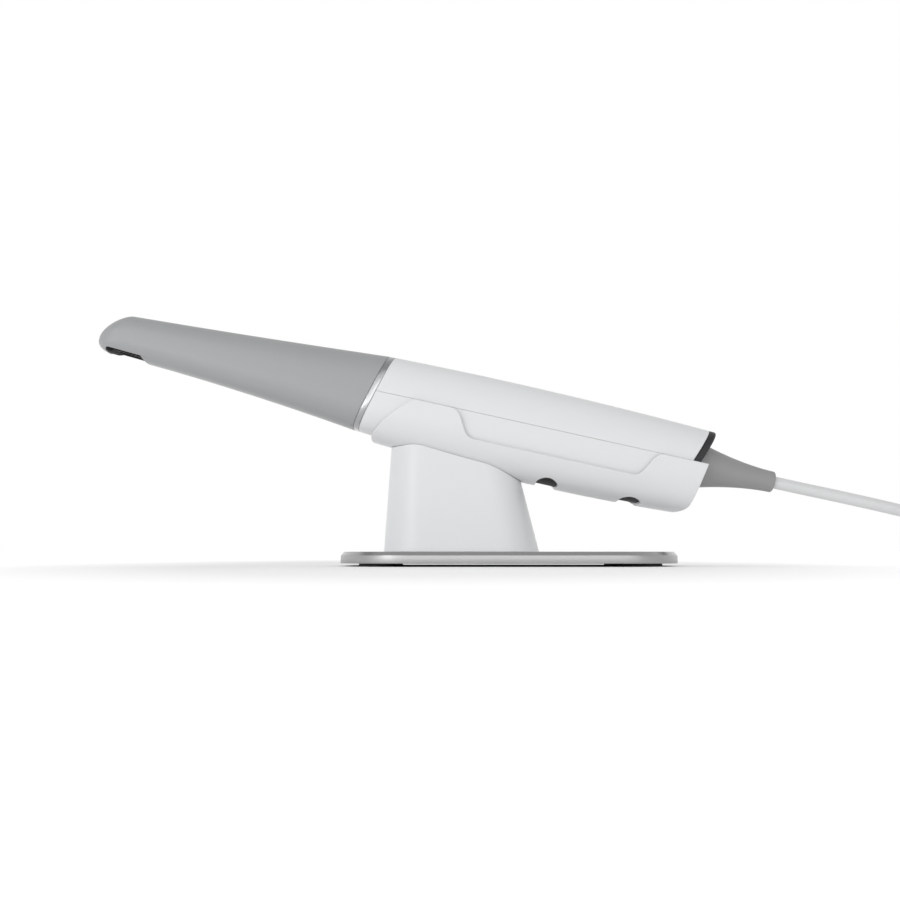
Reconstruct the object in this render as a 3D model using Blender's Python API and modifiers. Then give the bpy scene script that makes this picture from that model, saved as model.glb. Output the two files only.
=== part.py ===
"""Intraoral scanner resting in its desk cradle, with its cable put away in a coil.

Metres, +Z up. The origin is on the desk, midway between the tip's nose and the end of the cable boot.
+X points to the cable end. The scanner leans at one angle, so its pieces are modelled along their own
axis, x towards the cable and z towards the back of the hand, under one tilted empty at the trim ring.
"""

import math

import bmesh
import bpy
from mathutils import Vector

MM = 0.001

# Fits
seat_gap = 0.3 * MM
desk_gap = 0.1 * MM
tray_clearance = 0.5 * MM
nose_clearance = 0.4 * MM

# Scanner's place and lean
scanner_tilt = math.radians(12.5)
ring_centre_height = 77.5 * MM

# Trim ring: a band whose two faces lean the same way
ring_front = -1.4 * MM
ring_band = 2.5 * MM
ring_lean = 0.26
ring_wall = 1.6 * MM

# Handle
handle_length = 142.9 * MM
handle_half_width = 16.8 * MM
handle_width_drop = 1.2 * MM
handle_width_crown_at = 60 * MM
handle_back_height = 17.8 * MM
handle_back_drop = 2.3 * MM
handle_back_crown_at = 50 * MM
handle_belly_depth = 22.1 * MM
handle_belly_drop = 4.9 * MM
handle_belly_crown_at = 85 * MM
crown_reach = 100 * MM
handle_squareness = 3.2
handle_wall = 1.8 * MM
parting_height = -0.55 * MM

# Rear cap and cable boot
cap_thickness = 3.25 * MM
cap_lean = 0.38
cap_edge_round = 1.2 * MM
boot_centre_height = -0.4 * MM
boot_root_radius = 10.0 * MM
boot_end_radius = 4.75 * MM
boot_reach = 36.2 * MM
boot_flange_radius = 12.5 * MM
boot_flange_thickness = 3 * MM

# Removable tip
tip_wall = 1.4 * MM
tip_length = 126.7 * MM
nose_length = 13.3 * MM
nose_top_power = 1.45
nose_bottom_power = 3
nose_side_power = 2.6
neck_top = 10.6 * MM
neck_bottom = 8.5 * MM
neck_half_width = 10.2 * MM
nose_height = -2.2 * MM
neck_squareness = 2.7

# Scan window under the tip
window_front = 123 * MM
window_back = 105.2 * MM
window_notch_front_height = -5.8 * MM
window_notch_back_height = -6.2 * MM
window_corner = 1.2 * MM
window_back_slope = 0.9
bezel_bottom = -7.6 * MM
bezel_lip_bottom = -9 * MM
bezel_lip_length = 3.4 * MM
bezel_lip_ramp = 1.4 * MM
bezel_frame = 2.2 * MM
bezel_front_frame = 5.4 * MM
glass_thickness = 0.7 * MM
glass_recess = 0.35 * MM
glass_half_width = 5.6 * MM

# Mirror in the nose
mirror_length = 12.8 * MM
mirror_half_width = 6.2 * MM
mirror_thickness = 1 * MM
mirror_at = -119.3 * MM
mirror_height = 0.6 * MM
mirror_angle = math.radians(45)

# Fixed nose inside the tip
nose_tube_reach = 60 * MM
nose_tube_wall = 1.6 * MM
nose_tube_tail = 16 * MM
nose_window_thickness = 2 * MM

# Inner frame and electronics
chassis_start = 18.5 * MM
chassis_length = 92 * MM
chassis_half_width = 10 * MM
chassis_thickness = 2 * MM
chassis_height = -9 * MM
rib_thickness = 2.4 * MM
rib_half_width = 9 * MM
camera_length = 16 * MM
camera_width = 8.4 * MM
camera_tall = 11 * MM
camera_spacing = 10.2 * MM
camera_start = 34 * MM
lens_radius = 3.4 * MM
lens_length = 12 * MM
projector_length = 26 * MM
projector_width = 14 * MM
projector_start = 62 * MM
projector_lens_radius = 4.2 * MM
projector_lens_length = 8 * MM
board_length = 96 * MM
board_half_width = 9.5 * MM
board_thickness = 1.6 * MM
board_start = 26 * MM
heat_sink_length = 30 * MM
heat_sink_half_width = 8 * MM
heat_sink_start = 78 * MM
heat_sink_base = 1.4 * MM
heat_sink_height = 5.2 * MM
heat_sink_fins = 6
heat_sink_fin = 1.1 * MM

# Scan button on the handle's back
button_at = 46 * MM
button_length = 17 * MM
button_half_width = 4.5 * MM
button_proud = 0.15 * MM
button_cap_thickness = 3 * MM
button_stem_radius = 1.6 * MM
button_travel_gap = 0.8 * MM
switch_size = 6 * MM
switch_height = 3.2 * MM

# Cradle tray
tray_wall = 2.2 * MM
tray_front = 3 * MM
tray_front_slope = 16 * MM
tray_front_power = 1.22
tray_rim = -0.85 * MM
tray_front_lug_end = 34.7 * MM
tray_cutout_depth = 11.5 * MM
tray_cutout_slope = 12.6 * MM
tray_cutout_power = 2.2
tray_rear_lug = 32.3 * MM
tray_past_cap = 2.7 * MM
tray_rear_lean = 0.25
tray_rear_round = 4.8 * MM
tray_rear_round_setback = 2.75 * MM
tray_rear_round_lift = 3.1 * MM
tray_front_run_out = 0.6 * MM
tray_front_overlap = 1.8 * MM
slot_width = 9.6 * MM
slot_half_reach = {83.5 * MM: 14.5 * MM, 120.8 * MM: 13.2 * MM}
pad_thickness = 0.9 * MM

# Pedestal
pedestal_foot_length = 69.4 * MM
pedestal_half_width = 17.3 * MM
pedestal_plan_taper = 0.12
pedestal_centre = 11.6 * MM
pedestal_front_draft = math.radians(3.9)
pedestal_rear_draft = math.radians(14.3)
pedestal_side_draft = math.radians(3)
pedestal_pocket_wall = 14 * MM
pedestal_pocket_side_wall = 4 * MM
pedestal_pocket_depth = 22 * MM

# Base plate, feet and screws
plate_length = 145.4 * MM
plate_width = 92 * MM
plate_thickness = 4.95 * MM
plate_corner = 30 * MM
plate_chamfer = 1.6 * MM
plate_centre = 31.85 * MM
foot_height = 1.3 * MM
foot_radius = 8 * MM
foot_inset_x = 17 * MM
foot_inset_y = 16 * MM
foot_recess = 0.6 * MM
screw_radius = 2 * MM
screw_head_radius = 4 * MM
screw_head_height = 2.2 * MM
screw_length = 13 * MM
screw_half_spacing = 26 * MM

# Cable, coil and plug
cable_radius = 2.75 * MM
coil_outer_radius = 44.2 * MM
coil_inner_radius = 20.2 * MM
coil_height = 11.3 * MM
coil_centre = (276 * MM, -41.4 * MM)
plug_length = 34 * MM
plug_half_width = 7.6 * MM
plug_half_height = 4.6 * MM
plug_tongue_length = 16 * MM
plug_tongue_half_width = 6 * MM
plug_tongue_half_height = 2.25 * MM
plug_start = (268 * MM, 27 * MM)
cable_route = ((185, 0, 30.2), (211, 0, 24.2), (229, 0, 19.2), (243, 0, 14.8), (254, 0, 11.7))
tail_route = (
    (234.6, -18.4, 2.9), (234.6, -6, 2.9), (236.6, 6, 2.9), (242, 17, 2.9), (250, 24, 3.6), (259.7, 26.8, 4.5),
)

# Facets round a section and along a curve
round_facets = 40
turn_facets = 32

ring_back = ring_front + ring_band
handle_front = ring_back + seat_gap
cap_front = ring_back + handle_length
cap_back = cap_front + cap_thickness
tip_back = ring_front - seat_gap
neck_at = ring_front - tip_length + nose_length
boot_end = cap_back + boot_reach
tray_rear = cap_back + tray_past_cap
tray_cutout_end = tray_rear - tray_rear_lug
nose_inset = max(tip_wall + nose_clearance, ring_wall + seat_gap)
plate_bottom = foot_height
plate_top = plate_bottom + plate_thickness
lean_cos, lean_sin = math.cos(scanner_tilt), math.sin(scanner_tilt)
nose_end_x = (ring_front - tip_length) * lean_cos + 1.8 * nose_height * lean_sin
boot_end_x = boot_end * lean_cos + (boot_centre_height + boot_end_radius) * lean_sin
ring_centre_x = -(nose_end_x + boot_end_x) / 2


for old in list(bpy.data.objects):
    bpy.data.objects.remove(old, do_unlink=True)
parts = bpy.data.collections.new("intraoral_scanner")
cutters = bpy.data.collections.new("cutters")
for group in (parts, cutters):
    bpy.context.scene.collection.children.link(group)


def finish(name, colour, roughness, metallic=0.0, alpha=1.0):
    material = bpy.data.materials.new(name)
    material.use_nodes = True
    shader = material.node_tree.nodes["Principled BSDF"]
    shader.inputs["Base Color"].default_value = (*colour, 1)
    shader.inputs["Roughness"].default_value = roughness
    shader.inputs["Metallic"].default_value = metallic
    shader.inputs["Alpha"].default_value = alpha
    return material


grey_plastic = finish("grey_plastic", (0.37, 0.375, 0.38), 0.5)
white_plastic = finish("white_plastic", (0.8, 0.81, 0.82), 0.35)
dark_plastic = finish("dark_plastic", (0.05, 0.05, 0.055), 0.5)
black_plastic = finish("black_plastic", (0.012, 0.012, 0.013), 0.35)
bright_metal = finish("bright_metal", (0.75, 0.76, 0.77), 0.25, 1)
soft_grey = finish("soft_grey", (0.22, 0.22, 0.225), 0.6)
cable_white = finish("cable_white", (0.72, 0.72, 0.73), 0.45)
clear_glass = finish("clear_glass", (0.9, 0.95, 0.97), 0.03, alpha=0.35)
mirror_silver = finish("mirror_silver", (0.9, 0.9, 0.91), 0.02, 1)
black_rubber = finish("black_rubber", (0.02, 0.02, 0.02), 0.8)
board_green = finish("board_green", (0.02, 0.16, 0.07), 0.5)
black_anodised = finish("black_anodised", (0.03, 0.03, 0.035), 0.4, 0.8)
machined_alloy = finish("machined_alloy", (0.6, 0.61, 0.62), 0.4, 1)


def new_object(name, mesh, material, parent=None, group=parts):
    piece = bpy.data.objects.new(name, mesh)
    group.objects.link(piece)
    piece.parent = parent
    if material:
        mesh.materials.append(material)
    if group is cutters:
        piece.hide_render = True
        piece.display_type = "WIRE"
    return piece


scanner_axis = new_object("scanner_axis", None, None)
scanner_axis.location = (ring_centre_x, 0, ring_centre_height)
scanner_axis.rotation_euler = (0, scanner_tilt, 0)
tip_carrier = new_object("tip_carrier", None, None, scanner_axis)


def loft(name, rings, material, parent=None, group=parts, loop=False, smooth=35):
    """A skin over rings of points, the rings in order along the piece and each counter-clockwise."""
    count = len(rings[0])
    points = [point for ring in rings for point in ring]
    faces = []
    for start in range(len(rings) if loop else len(rings) - 1):
        here, there = start * count, (start + 1) % len(rings) * count
        for k in range(count):
            after = (k + 1) % count
            faces.append((here + k, here + after, there + after, there + k))
    if not loop:
        last = (len(rings) - 1) * count
        faces.append(tuple(reversed(range(count))))
        faces.append(tuple(range(last, last + count)))
    mesh = bpy.data.meshes.new(name)
    mesh.from_pydata(points, [], faces)
    mesh.shade_smooth()
    mesh.set_sharp_from_angle(angle=math.radians(smooth))
    return new_object(name, mesh, material, parent, group)


def oval(half_width, bottom, top, squareness, start=0.0, turn=math.tau, count=round_facets):
    """Points (y, z) of an upright oval with squared sides, over part of its turn or all of it."""
    middle, half_height = (top + bottom) / 2, (top - bottom) / 2
    steps = count if turn >= math.tau else count - 1
    points = []
    for k in range(count):
        angle = start + turn * k / steps
        across, up = math.cos(angle), math.sin(angle)
        points.append((
            half_width * math.copysign(abs(across) ** (2 / squareness), across),
            middle + half_height * math.copysign(abs(up) ** (2 / squareness), up),
        ))
    return points


def leaning(points, at, lean=0.0):
    """A section's points set in a plane at one place along the scanner, leaning by so much a height."""
    return [Vector((at + lean * z, y, z)) for y, z in points]


def box(name, low, high, material, parent=None, group=parts, bevel=0.0):
    mesh = bpy.data.meshes.new(name)
    shape = bmesh.new()
    bmesh.ops.create_cube(shape, size=1)
    low, high = Vector(low), Vector(high)
    for vertex in shape.verts:
        vertex.co = (low + high) / 2 + Vector(vertex.co) * (high - low)
    shape.to_mesh(mesh)
    shape.free()
    piece = new_object(name, mesh, material, parent, group)
    if bevel:
        rounding = piece.modifiers.new("rounding", "BEVEL")
        rounding.width = bevel
        rounding.segments = 2
    return piece


def rod(name, start, end, radius, material, parent=None, group=parts, facets=turn_facets, end_radius=None):
    """A round bar, or a cone, between two points."""
    start, end = Vector(start), Vector(end)
    along = end - start
    mesh = bpy.data.meshes.new(name)
    shape = bmesh.new()
    bmesh.ops.create_cone(
        shape, cap_ends=True, segments=facets, radius1=radius,
        radius2=radius if end_radius is None else end_radius, depth=along.length,
    )
    turn = along.to_track_quat("Z", "Y").to_matrix()
    for vertex in shape.verts:
        vertex.co = turn @ vertex.co + (start + end) / 2
    shape.to_mesh(mesh)
    shape.free()
    mesh.shade_smooth()
    mesh.set_sharp_from_angle(angle=math.radians(35))
    return new_object(name, mesh, material, parent, group)


def turned(name, profile, material, parent=None, group=parts):
    """A solid turned round the local X axis, from (place along the axis, radius) pairs, front to back."""
    mesh = bpy.data.meshes.new(name)
    points = [(along, radius, 0) for along, radius in profile]
    mesh.from_pydata(points, [(k, k + 1) for k in range(len(points) - 1)], [])
    piece = new_object(name, mesh, material, parent, group)
    spin = piece.modifiers.new("turning", "SCREW")
    spin.axis = "X"
    spin.steps = turn_facets
    spin.render_steps = turn_facets
    spin.use_merge_vertices = True
    spin.merge_threshold = 0.00001
    spin.use_normal_flip = True
    return piece


def shape_with(piece, other, operation, solver="EXACT"):
    change = piece.modifiers.new(operation.lower(), "BOOLEAN")
    change.operation = operation
    change.solver = solver
    change.object = other


def cut(piece, *tools):
    for tool in tools:
        shape_with(piece, tool, "DIFFERENCE")


def prism(name, outline, half_width, parent=scanner_axis, group=cutters, material=None):
    """A side outline of (x, z) points, counter-clockwise seen from -Y, run across the scanner."""
    near = [Vector((x, -half_width, z)) for x, z in outline]
    far = [Vector((x, half_width, z)) for x, z in outline]
    return loft(name, [far, near], material, parent, group)


def obround(half_length, half_width, z, centre=0.0, count=round_facets):
    """A slot outline round (centre, 0) at one height, counter-clockwise seen from above."""
    points = []
    half = count // 2
    for end, first in ((1, -math.pi / 2), (-1, math.pi / 2)):
        for k in range(half):
            angle = first + math.pi * k / (half - 1)
            x = centre + end * (half_length - half_width) + half_width * math.cos(angle)
            points.append(Vector((x, half_width * math.sin(angle), z)))
    return points


def rounded_rectangle(half_length, half_width, corner, z, centre=0.0, arc=8):
    points = []
    for sign_x, sign_y, first in ((1, 1, 0), (-1, 1, 90), (-1, -1, 180), (1, -1, 270)):
        for k in range(arc):
            angle = math.radians(first + 90 * k / (arc - 1))
            x = centre + sign_x * (half_length - corner) + corner * math.cos(angle)
            points.append(Vector((x, sign_y * (half_width - corner) + corner * math.sin(angle), z)))
    return points


def crowned(at, peak, drop, crown_at):
    return peak - drop * ((at - crown_at) / crown_reach) ** 2


def handle_section(at, lean=0.0, inset=0.0, start=0.0, turn=math.tau, count=round_facets):
    """The handle's skin, or one set in from it, in a plane that may lean."""
    top = crowned(at + lean * handle_back_height, handle_back_height, handle_back_drop, handle_back_crown_at)
    below = at - lean * handle_belly_depth
    bottom = -crowned(below, handle_belly_depth, handle_belly_drop, handle_belly_crown_at)
    half_width = crowned(at, handle_half_width, handle_width_drop, handle_width_crown_at)
    points = oval(half_width - inset, bottom + inset, top - inset, handle_squareness, start, turn, count)
    return leaning(points, at, lean)


def parting_angle(at, height, lean, inset):
    """Where the skin crosses one height, as the oval's own angle on the +Y side."""
    points = handle_section(at, lean, inset, math.pi / 2, math.pi, 2)
    top, bottom = points[0].z, points[1].z
    share = (height - (top + bottom) / 2) / ((top - bottom) / 2)
    return math.asin(math.copysign(abs(share) ** (handle_squareness / 2), share))


def shell_ring(at, lean, outer, inner, height, upper, count=26):
    """A C-shaped wall section between two skins, above or below one height."""
    sides = []
    for inset in (outer, inner):
        edge = parting_angle(at, height, lean, inset)
        start, turn = (edge, math.pi - 2 * edge) if upper else (math.pi - edge, math.pi + 2 * edge)
        sides.append(handle_section(at, lean, inset, start, turn, count))
    return sides[0] + sides[1][::-1]


def handle_stations(first, last, first_lean, last_lean, count):
    """Places along the handle with the lean passing smoothly from one end's to the other's."""
    stations = []
    for k in range(count):
        share = k / (count - 1)
        stations.append((first + (last - first) * share, first_lean + (last_lean - first_lean) * share))
    return stations


def ease(share, start_slope, end_slope):
    """0 to 1 with a chosen slope at each end."""
    squared, cubed = share ** 2, share ** 3
    return 3 * squared - 2 * cubed + start_slope * (cubed - 2 * squared + share) + end_slope * (cubed - squared)


ring_top = crowned(ring_front + ring_lean * handle_back_height, handle_back_height, handle_back_drop,
                   handle_back_crown_at)
ring_bottom = crowned(ring_front - ring_lean * handle_back_height, handle_belly_depth, handle_belly_drop,
                      handle_belly_crown_at)
ring_half_width = crowned(ring_front, handle_half_width, handle_width_drop, handle_width_crown_at)


def tip_section(at, lean=0.0, inset=0.0, count=round_facets):
    """The tip's skin between the ring and the neck, or one set in from it."""
    share = min(max((ring_front - at) / (ring_front - neck_at), 0), 1)
    top = ring_top + (neck_top - ring_top) * ease(share, 1.27, 0.8)
    bottom = ring_bottom + (neck_bottom - ring_bottom) * ease(share, 1.25, 0.45)
    half_width = ring_half_width + (neck_half_width - ring_half_width) * ease(share, 1.25, 0.6)
    squareness = handle_squareness + (neck_squareness - handle_squareness) * share
    return leaning(oval(half_width - inset, inset - bottom, top - inset, squareness, count=count), at, lean)


def nose_section(share, inset=0.0):
    """The bullnose in front of the neck: share 0 is the neck and 1 the very front."""
    def fall(power):
        return (1 - share ** power) ** (1 / power)

    top = nose_height + (neck_top - inset - nose_height) * fall(nose_top_power)
    bottom = nose_height - (neck_bottom - inset + nose_height) * fall(nose_bottom_power)
    half_width = (neck_half_width - inset) * fall(nose_side_power)
    return leaning(oval(half_width, bottom, top, neck_squareness), neck_at - (nose_length - inset) * share)


def tip_skin(inset=0.0):
    rings = [nose_section(math.sin(math.radians(angle)), inset) for angle in (84, 75, 63, 48, 32, 16)]
    lengths = (neck_at, neck_at * 0.78, neck_at * 0.55, neck_at * 0.33, neck_at * 0.15)
    rings += [tip_section(at, 0, inset) for at in lengths]
    return rings + [tip_section(tip_back, ring_lean, inset)]


def removable_tip():
    sleeve = loft("tip_sleeve", tip_skin() + tip_skin(tip_wall)[::-1], grey_plastic, tip_carrier)
    solid = loft("tip_form", tip_skin(), None, tip_carrier, cutters)
    notch = window_outline(0)
    cut(sleeve, prism("window_notch", notch, neck_half_width * 1.5))
    fill = prism("scan_window_bezel", window_outline(seat_gap), neck_half_width * 1.5, tip_carrier, parts,
                 black_plastic)
    shape_with(fill, solid, "INTERSECT", "MANIFOLD")
    pocket_low = (-window_front + bezel_front_frame, -glass_half_width, bezel_bottom - 2 * MM)
    pocket_high = (-window_back - bezel_frame, glass_half_width, window_notch_front_height + 2 * MM)
    cut(fill, box("window_pocket", pocket_low, pocket_high, None, tip_carrier, cutters))
    glass_front, glass_back = pocket_low[0] + seat_gap, pocket_high[0] - seat_gap
    glass_bottom = bezel_bottom + glass_recess
    glass_top = glass_bottom + glass_thickness
    prism("scan_window_glass", [(glass_front, glass_bottom), (glass_back, glass_bottom), (glass_back, glass_top),
                                (glass_front, glass_top)], glass_half_width - seat_gap, tip_carrier, parts, clear_glass)
    along = Vector((math.cos(mirror_angle), 0, math.sin(mirror_angle)))
    out = Vector((math.sin(mirror_angle), 0, -math.cos(mirror_angle)))
    centre = Vector((mirror_at, 0, mirror_height))
    outline = []
    for run, rise in ((-1, 0), (-1, 1), (1, 1), (1, 0)):
        point = centre + along * (run * mirror_length / 2) + out * (rise * mirror_thickness)
        outline.append((point.x, point.z))
    prism("tip_mirror", outline, mirror_half_width, tip_carrier, parts, mirror_silver)


def window_outline(gap):
    """Side view of the notch under the tip, or of the bezel that fills it."""
    front, back = -window_front + gap, -window_back - gap
    floor = bezel_bottom if gap else bezel_bottom - 6 * MM
    back_top = window_notch_back_height - gap
    front_top = window_notch_front_height - gap
    lip_back = front + bezel_lip_length + bezel_lip_ramp
    lip = [(front, bezel_lip_bottom), (front + bezel_lip_length, bezel_lip_bottom), (lip_back, floor)]
    return (lip if gap else [(front, floor)]) + [
        (back - window_back_slope * (floor - bezel_bottom), floor),
        (back - window_back_slope * (back_top - bezel_bottom), back_top),
        (front + window_corner, front_top), (front, front_top - window_corner),
    ]


def trim_ring_and_nose():
    outer = [handle_section(ring_front, ring_lean), handle_section(ring_back, ring_lean)]
    inner = [handle_section(ring_back, ring_lean, ring_wall), handle_section(ring_front, ring_lean, ring_wall)]
    loft("trim_ring", outer + inner, bright_metal, scanner_axis, loop=True)
    tail_inset = handle_wall + seat_gap
    skin = [tip_section(-nose_tube_reach, 0, nose_inset), tip_section(-nose_tube_reach / 2, 0, nose_inset),
            tip_section(tip_back, ring_lean, nose_inset), handle_section(ring_back, ring_lean, tail_inset),
            handle_section(nose_tube_tail, 0, tail_inset)]
    bore_inset = nose_inset + nose_tube_wall
    tail_bore = tail_inset + nose_tube_wall
    bore = [handle_section(nose_tube_tail, 0, tail_bore), handle_section(ring_back, ring_lean, tail_bore),
            tip_section(tip_back, ring_lean, bore_inset), tip_section(-nose_tube_reach / 2, 0, bore_inset),
            tip_section(-nose_tube_reach, 0, bore_inset)]
    loft("nose_tube", skin + bore, black_anodised, scanner_axis, loop=True)
    lens_inset = bore_inset + seat_gap
    window_at = -nose_tube_reach + 1 * MM
    loft("nose_window", [tip_section(window_at, 0, lens_inset),
                         tip_section(window_at + nose_window_thickness, 0, lens_inset)], clear_glass, scanner_axis)


def handle_shells():
    stations = handle_stations(handle_front, cap_front - seat_gap, ring_lean, cap_lean, 9)
    shells = []
    for name, upper in (("handle_upper_shell", True), ("handle_lower_shell", False)):
        height = parting_height + (seat_gap / 2 if upper else -seat_gap / 2)
        rings = [shell_ring(at, lean, 0, handle_wall, height, upper) for at, lean in stations]
        shells.append(loft(name, rings, white_plastic, scanner_axis))
    upper_shell, lower_shell = shells
    half_length = button_length / 2
    hole = loft("button_hole", [
        obround(half_length + seat_gap, button_half_width + seat_gap, z, button_at)
        for z in (handle_back_height - 6 * MM, handle_back_height + 6 * MM)
    ], None, scanner_axis, cutters)
    cut(upper_shell, hole)
    for number, share in enumerate((0.12, 0.88), 1):
        at = chassis_start + chassis_length * share
        top = chassis_height - seat_gap
        root = handle_wall / 2 - crowned(at, handle_belly_depth, handle_belly_drop, handle_belly_crown_at)
        rib = box(f"rib_{number}", (at - rib_thickness / 2, -rib_half_width, root),
                  (at + rib_thickness / 2, rib_half_width, top), None, scanner_axis, cutters)
        shape_with(lower_shell, rib, "UNION")


def optics_and_electronics():
    deck = chassis_height + chassis_thickness
    end = chassis_start + chassis_length
    chassis = box("optical_chassis", (chassis_start, -chassis_half_width, chassis_height),
                  (end, chassis_half_width, deck), machined_alloy, scanner_axis)
    slot = loft("chassis_slot", [obround(12 * MM, 4 * MM, z, projector_start + projector_length + 12.5 * MM, 20)
                                 for z in (chassis_height - 2 * MM, deck + 2 * MM)], None, scanner_axis, cutters)
    cut(chassis, slot)
    bed = deck + seat_gap
    lens_height = bed + camera_tall / 2
    for side, name in ((1, "left"), (-1, "right")):
        middle = side * camera_spacing / 2
        box(f"camera_{name}", (camera_start, middle - camera_width / 2, bed),
            (camera_start + camera_length, middle + camera_width / 2, bed + camera_tall), black_anodised,
            scanner_axis, bevel=0.5 * MM)
        lens_back = camera_start - seat_gap
        lens = rod(f"camera_lens_{name}", (lens_back - lens_length, middle, lens_height),
                   (lens_back, middle, lens_height), lens_radius, black_anodised, scanner_axis, facets=24)
        dish = rod(f"camera_dish_{name}", (lens_back - lens_length - MM, middle, lens_height),
                   (lens_back - lens_length + 3 * MM, middle, lens_height), lens_radius - 0.8 * MM, None,
                   scanner_axis, cutters, 24)
        cut(lens, dish)
    box("projector", (projector_start, -projector_width / 2, bed),
        (projector_start + projector_length, projector_width / 2, bed + camera_tall), black_anodised, scanner_axis,
        bevel=0.6 * MM)
    front = projector_start - seat_gap
    rod("projector_lens", (front - projector_lens_length, 0, lens_height), (front, 0, lens_height),
        projector_lens_radius, black_anodised, scanner_axis, facets=24)
    board_bottom = bed + camera_tall + seat_gap
    board_top = board_bottom + board_thickness
    box("main_circuit_board", (board_start, -board_half_width, board_bottom),
        (board_start + board_length, board_half_width, board_top), board_green, scanner_axis)
    base = board_top + seat_gap
    sink = box("heat_sink", (heat_sink_start, -heat_sink_half_width, base),
               (heat_sink_start + heat_sink_length, heat_sink_half_width, base + heat_sink_height), machined_alloy,
               scanner_axis)
    pitch = (2 * heat_sink_half_width - heat_sink_fin) / (heat_sink_fins - 1)
    for number in range(heat_sink_fins - 1):
        left = -heat_sink_half_width + heat_sink_fin + number * pitch
        cut(sink, box(f"fin_gap_{number}", (heat_sink_start - MM, left, base + heat_sink_base),
                      (heat_sink_start + heat_sink_length + MM, left + pitch - heat_sink_fin,
                       base + heat_sink_height + MM), None, scanner_axis, cutters))
    switch_top = base + switch_height
    box("button_switch", (button_at - switch_size / 2, -switch_size / 2, base),
        (button_at + switch_size / 2, switch_size / 2, switch_top), black_plastic, scanner_axis)
    scan_button(switch_top)


def scan_button(switch_top):
    top = crowned(button_at, handle_back_height, handle_back_drop, handle_back_crown_at) + button_proud
    under = top - button_cap_thickness
    half_length = button_length / 2
    cap = loft("scan_button", [
        obround(half_length, button_half_width, under, button_at),
        obround(half_length, button_half_width, top - 0.5 * MM, button_at),
        obround(half_length - 0.5 * MM, button_half_width - 0.5 * MM, top, button_at),
    ], white_plastic, scanner_axis)
    stem = rod("button_stem", (button_at, 0, switch_top + button_travel_gap), (button_at, 0, under + MM),
               button_stem_radius, None, scanner_axis, cutters, 20)
    shape_with(cap, stem, "UNION")


def rear_end():
    inner = handle_section(cap_front, cap_lean, 0)
    full = handle_section(cap_back - cap_edge_round, cap_lean, 0)
    edge = handle_section(cap_back - cap_edge_round * 0.3, cap_lean, cap_edge_round * 0.3)
    back = handle_section(cap_back, cap_lean, cap_edge_round)
    cap = loft("rear_cap", [inner, full, edge, back], dark_plastic, scanner_axis)
    hole = rod("cap_hole", (cap_front - 12 * MM, 0, boot_centre_height), (cap_back + 12 * MM, 0, boot_centre_height),
               boot_root_radius + seat_gap, None, scanner_axis, cutters)
    cut(cap, hole)
    flange_back = cap_front - cap_lean * (boot_flange_radius - boot_centre_height) - seat_gap
    root = cap_back + cap_lean * boot_root_radius
    profile = [(flange_back - boot_flange_thickness, 0),
               (flange_back - boot_flange_thickness, boot_flange_radius), (flange_back, boot_flange_radius),
               (flange_back, boot_root_radius), (root, boot_root_radius - 0.4 * MM)]
    taper = boot_end - 1 * MM - root
    for k in range(1, 8):
        share = k / 7
        radius = boot_end_radius + (boot_root_radius - 0.4 * MM - boot_end_radius) * (1 - share) ** 1.75
        profile.append((root + taper * share, radius))
    profile += [(boot_end, boot_end_radius - 0.9 * MM), (boot_end, 0)]
    boot = turned("strain_relief", profile, soft_grey, scanner_axis)
    boot.location = (0, 0, boot_centre_height)


def s_curve(start, end, count=9):
    """Points of a rim that passes level from one height to another, steepest half way."""
    points = []
    for k in range(count):
        share = k / (count - 1)
        gone, left = share ** tray_cutout_power, (1 - share) ** tray_cutout_power
        points.append((start[0] + (end[0] - start[0]) * share, start[1] + (end[1] - start[1]) * gone / (gone + left)))
    return points


def tray_outline():
    """The tray seen from the side, counter-clockwise from its front bottom corner."""
    floor = -handle_belly_depth - tray_wall - 8 * MM
    round_x = tray_rear - tray_rear_lean * handle_belly_depth - tray_rear_round_setback
    round_z = -handle_belly_depth + tray_clearance + tray_rear_round_lift
    points = []
    for k in range(6):
        angle = math.radians(-90 + 72 * k / 5)
        points.append((round_x + tray_rear_round * math.cos(angle), round_z + tray_rear_round * math.sin(angle)))
    points.append((tray_rear, tray_rim))
    cutout = tray_rim - tray_cutout_depth
    points += s_curve((tray_cutout_end + tray_cutout_slope, tray_rim), (tray_cutout_end, cutout))
    points += s_curve((tray_front_lug_end + tray_cutout_slope, cutout), (tray_front_lug_end, tray_rim))
    height = handle_back_height + tray_front_overlap
    for k in range(9):
        share = math.sin(math.radians(90 * k / 8))
        rise = (1 - share ** tray_front_power) ** (1 / tray_front_power)
        points.append((tray_front + tray_front_slope * (1 - share), tray_rim - height + height * rise))
    points.append((tray_front + tray_front_run_out, floor))
    points.append((round_x, floor))
    return points


def across_slot(name, at, gap, floor):
    """A cutter for one slot across the tray's floor, or for the pad that fills it with a gap."""
    rings = []
    for z in (floor - 4 * MM, floor + 9 * MM):
        outline = obround(slot_half_reach[at] - gap, slot_width / 2 - gap, z)
        rings.append([Vector((at + point.y, point.x, point.z)) for point in reversed(outline)])
    return loft(name, rings, None, scanner_axis, cutters)


def cradle_tray():
    inner, outer = -tray_clearance, -tray_clearance - tray_wall
    stations = handle_stations(tray_front - 2 * MM, tray_rear + 4 * MM, 0, 0, 9)
    rings = [shell_ring(at, lean, outer, inner, tray_rim, False, 30) for at, lean in stations]
    tray = loft("cradle_tray", rings, white_plastic, scanner_axis)
    shape_with(tray, prism("tray_side", tray_outline(), 40 * MM), "INTERSECT")
    floor = -handle_belly_depth - tray_clearance - tray_wall
    for number, at in enumerate(slot_half_reach, 1):
        cut(tray, across_slot(f"tray_slot_{number}", at, 0, floor))


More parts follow.
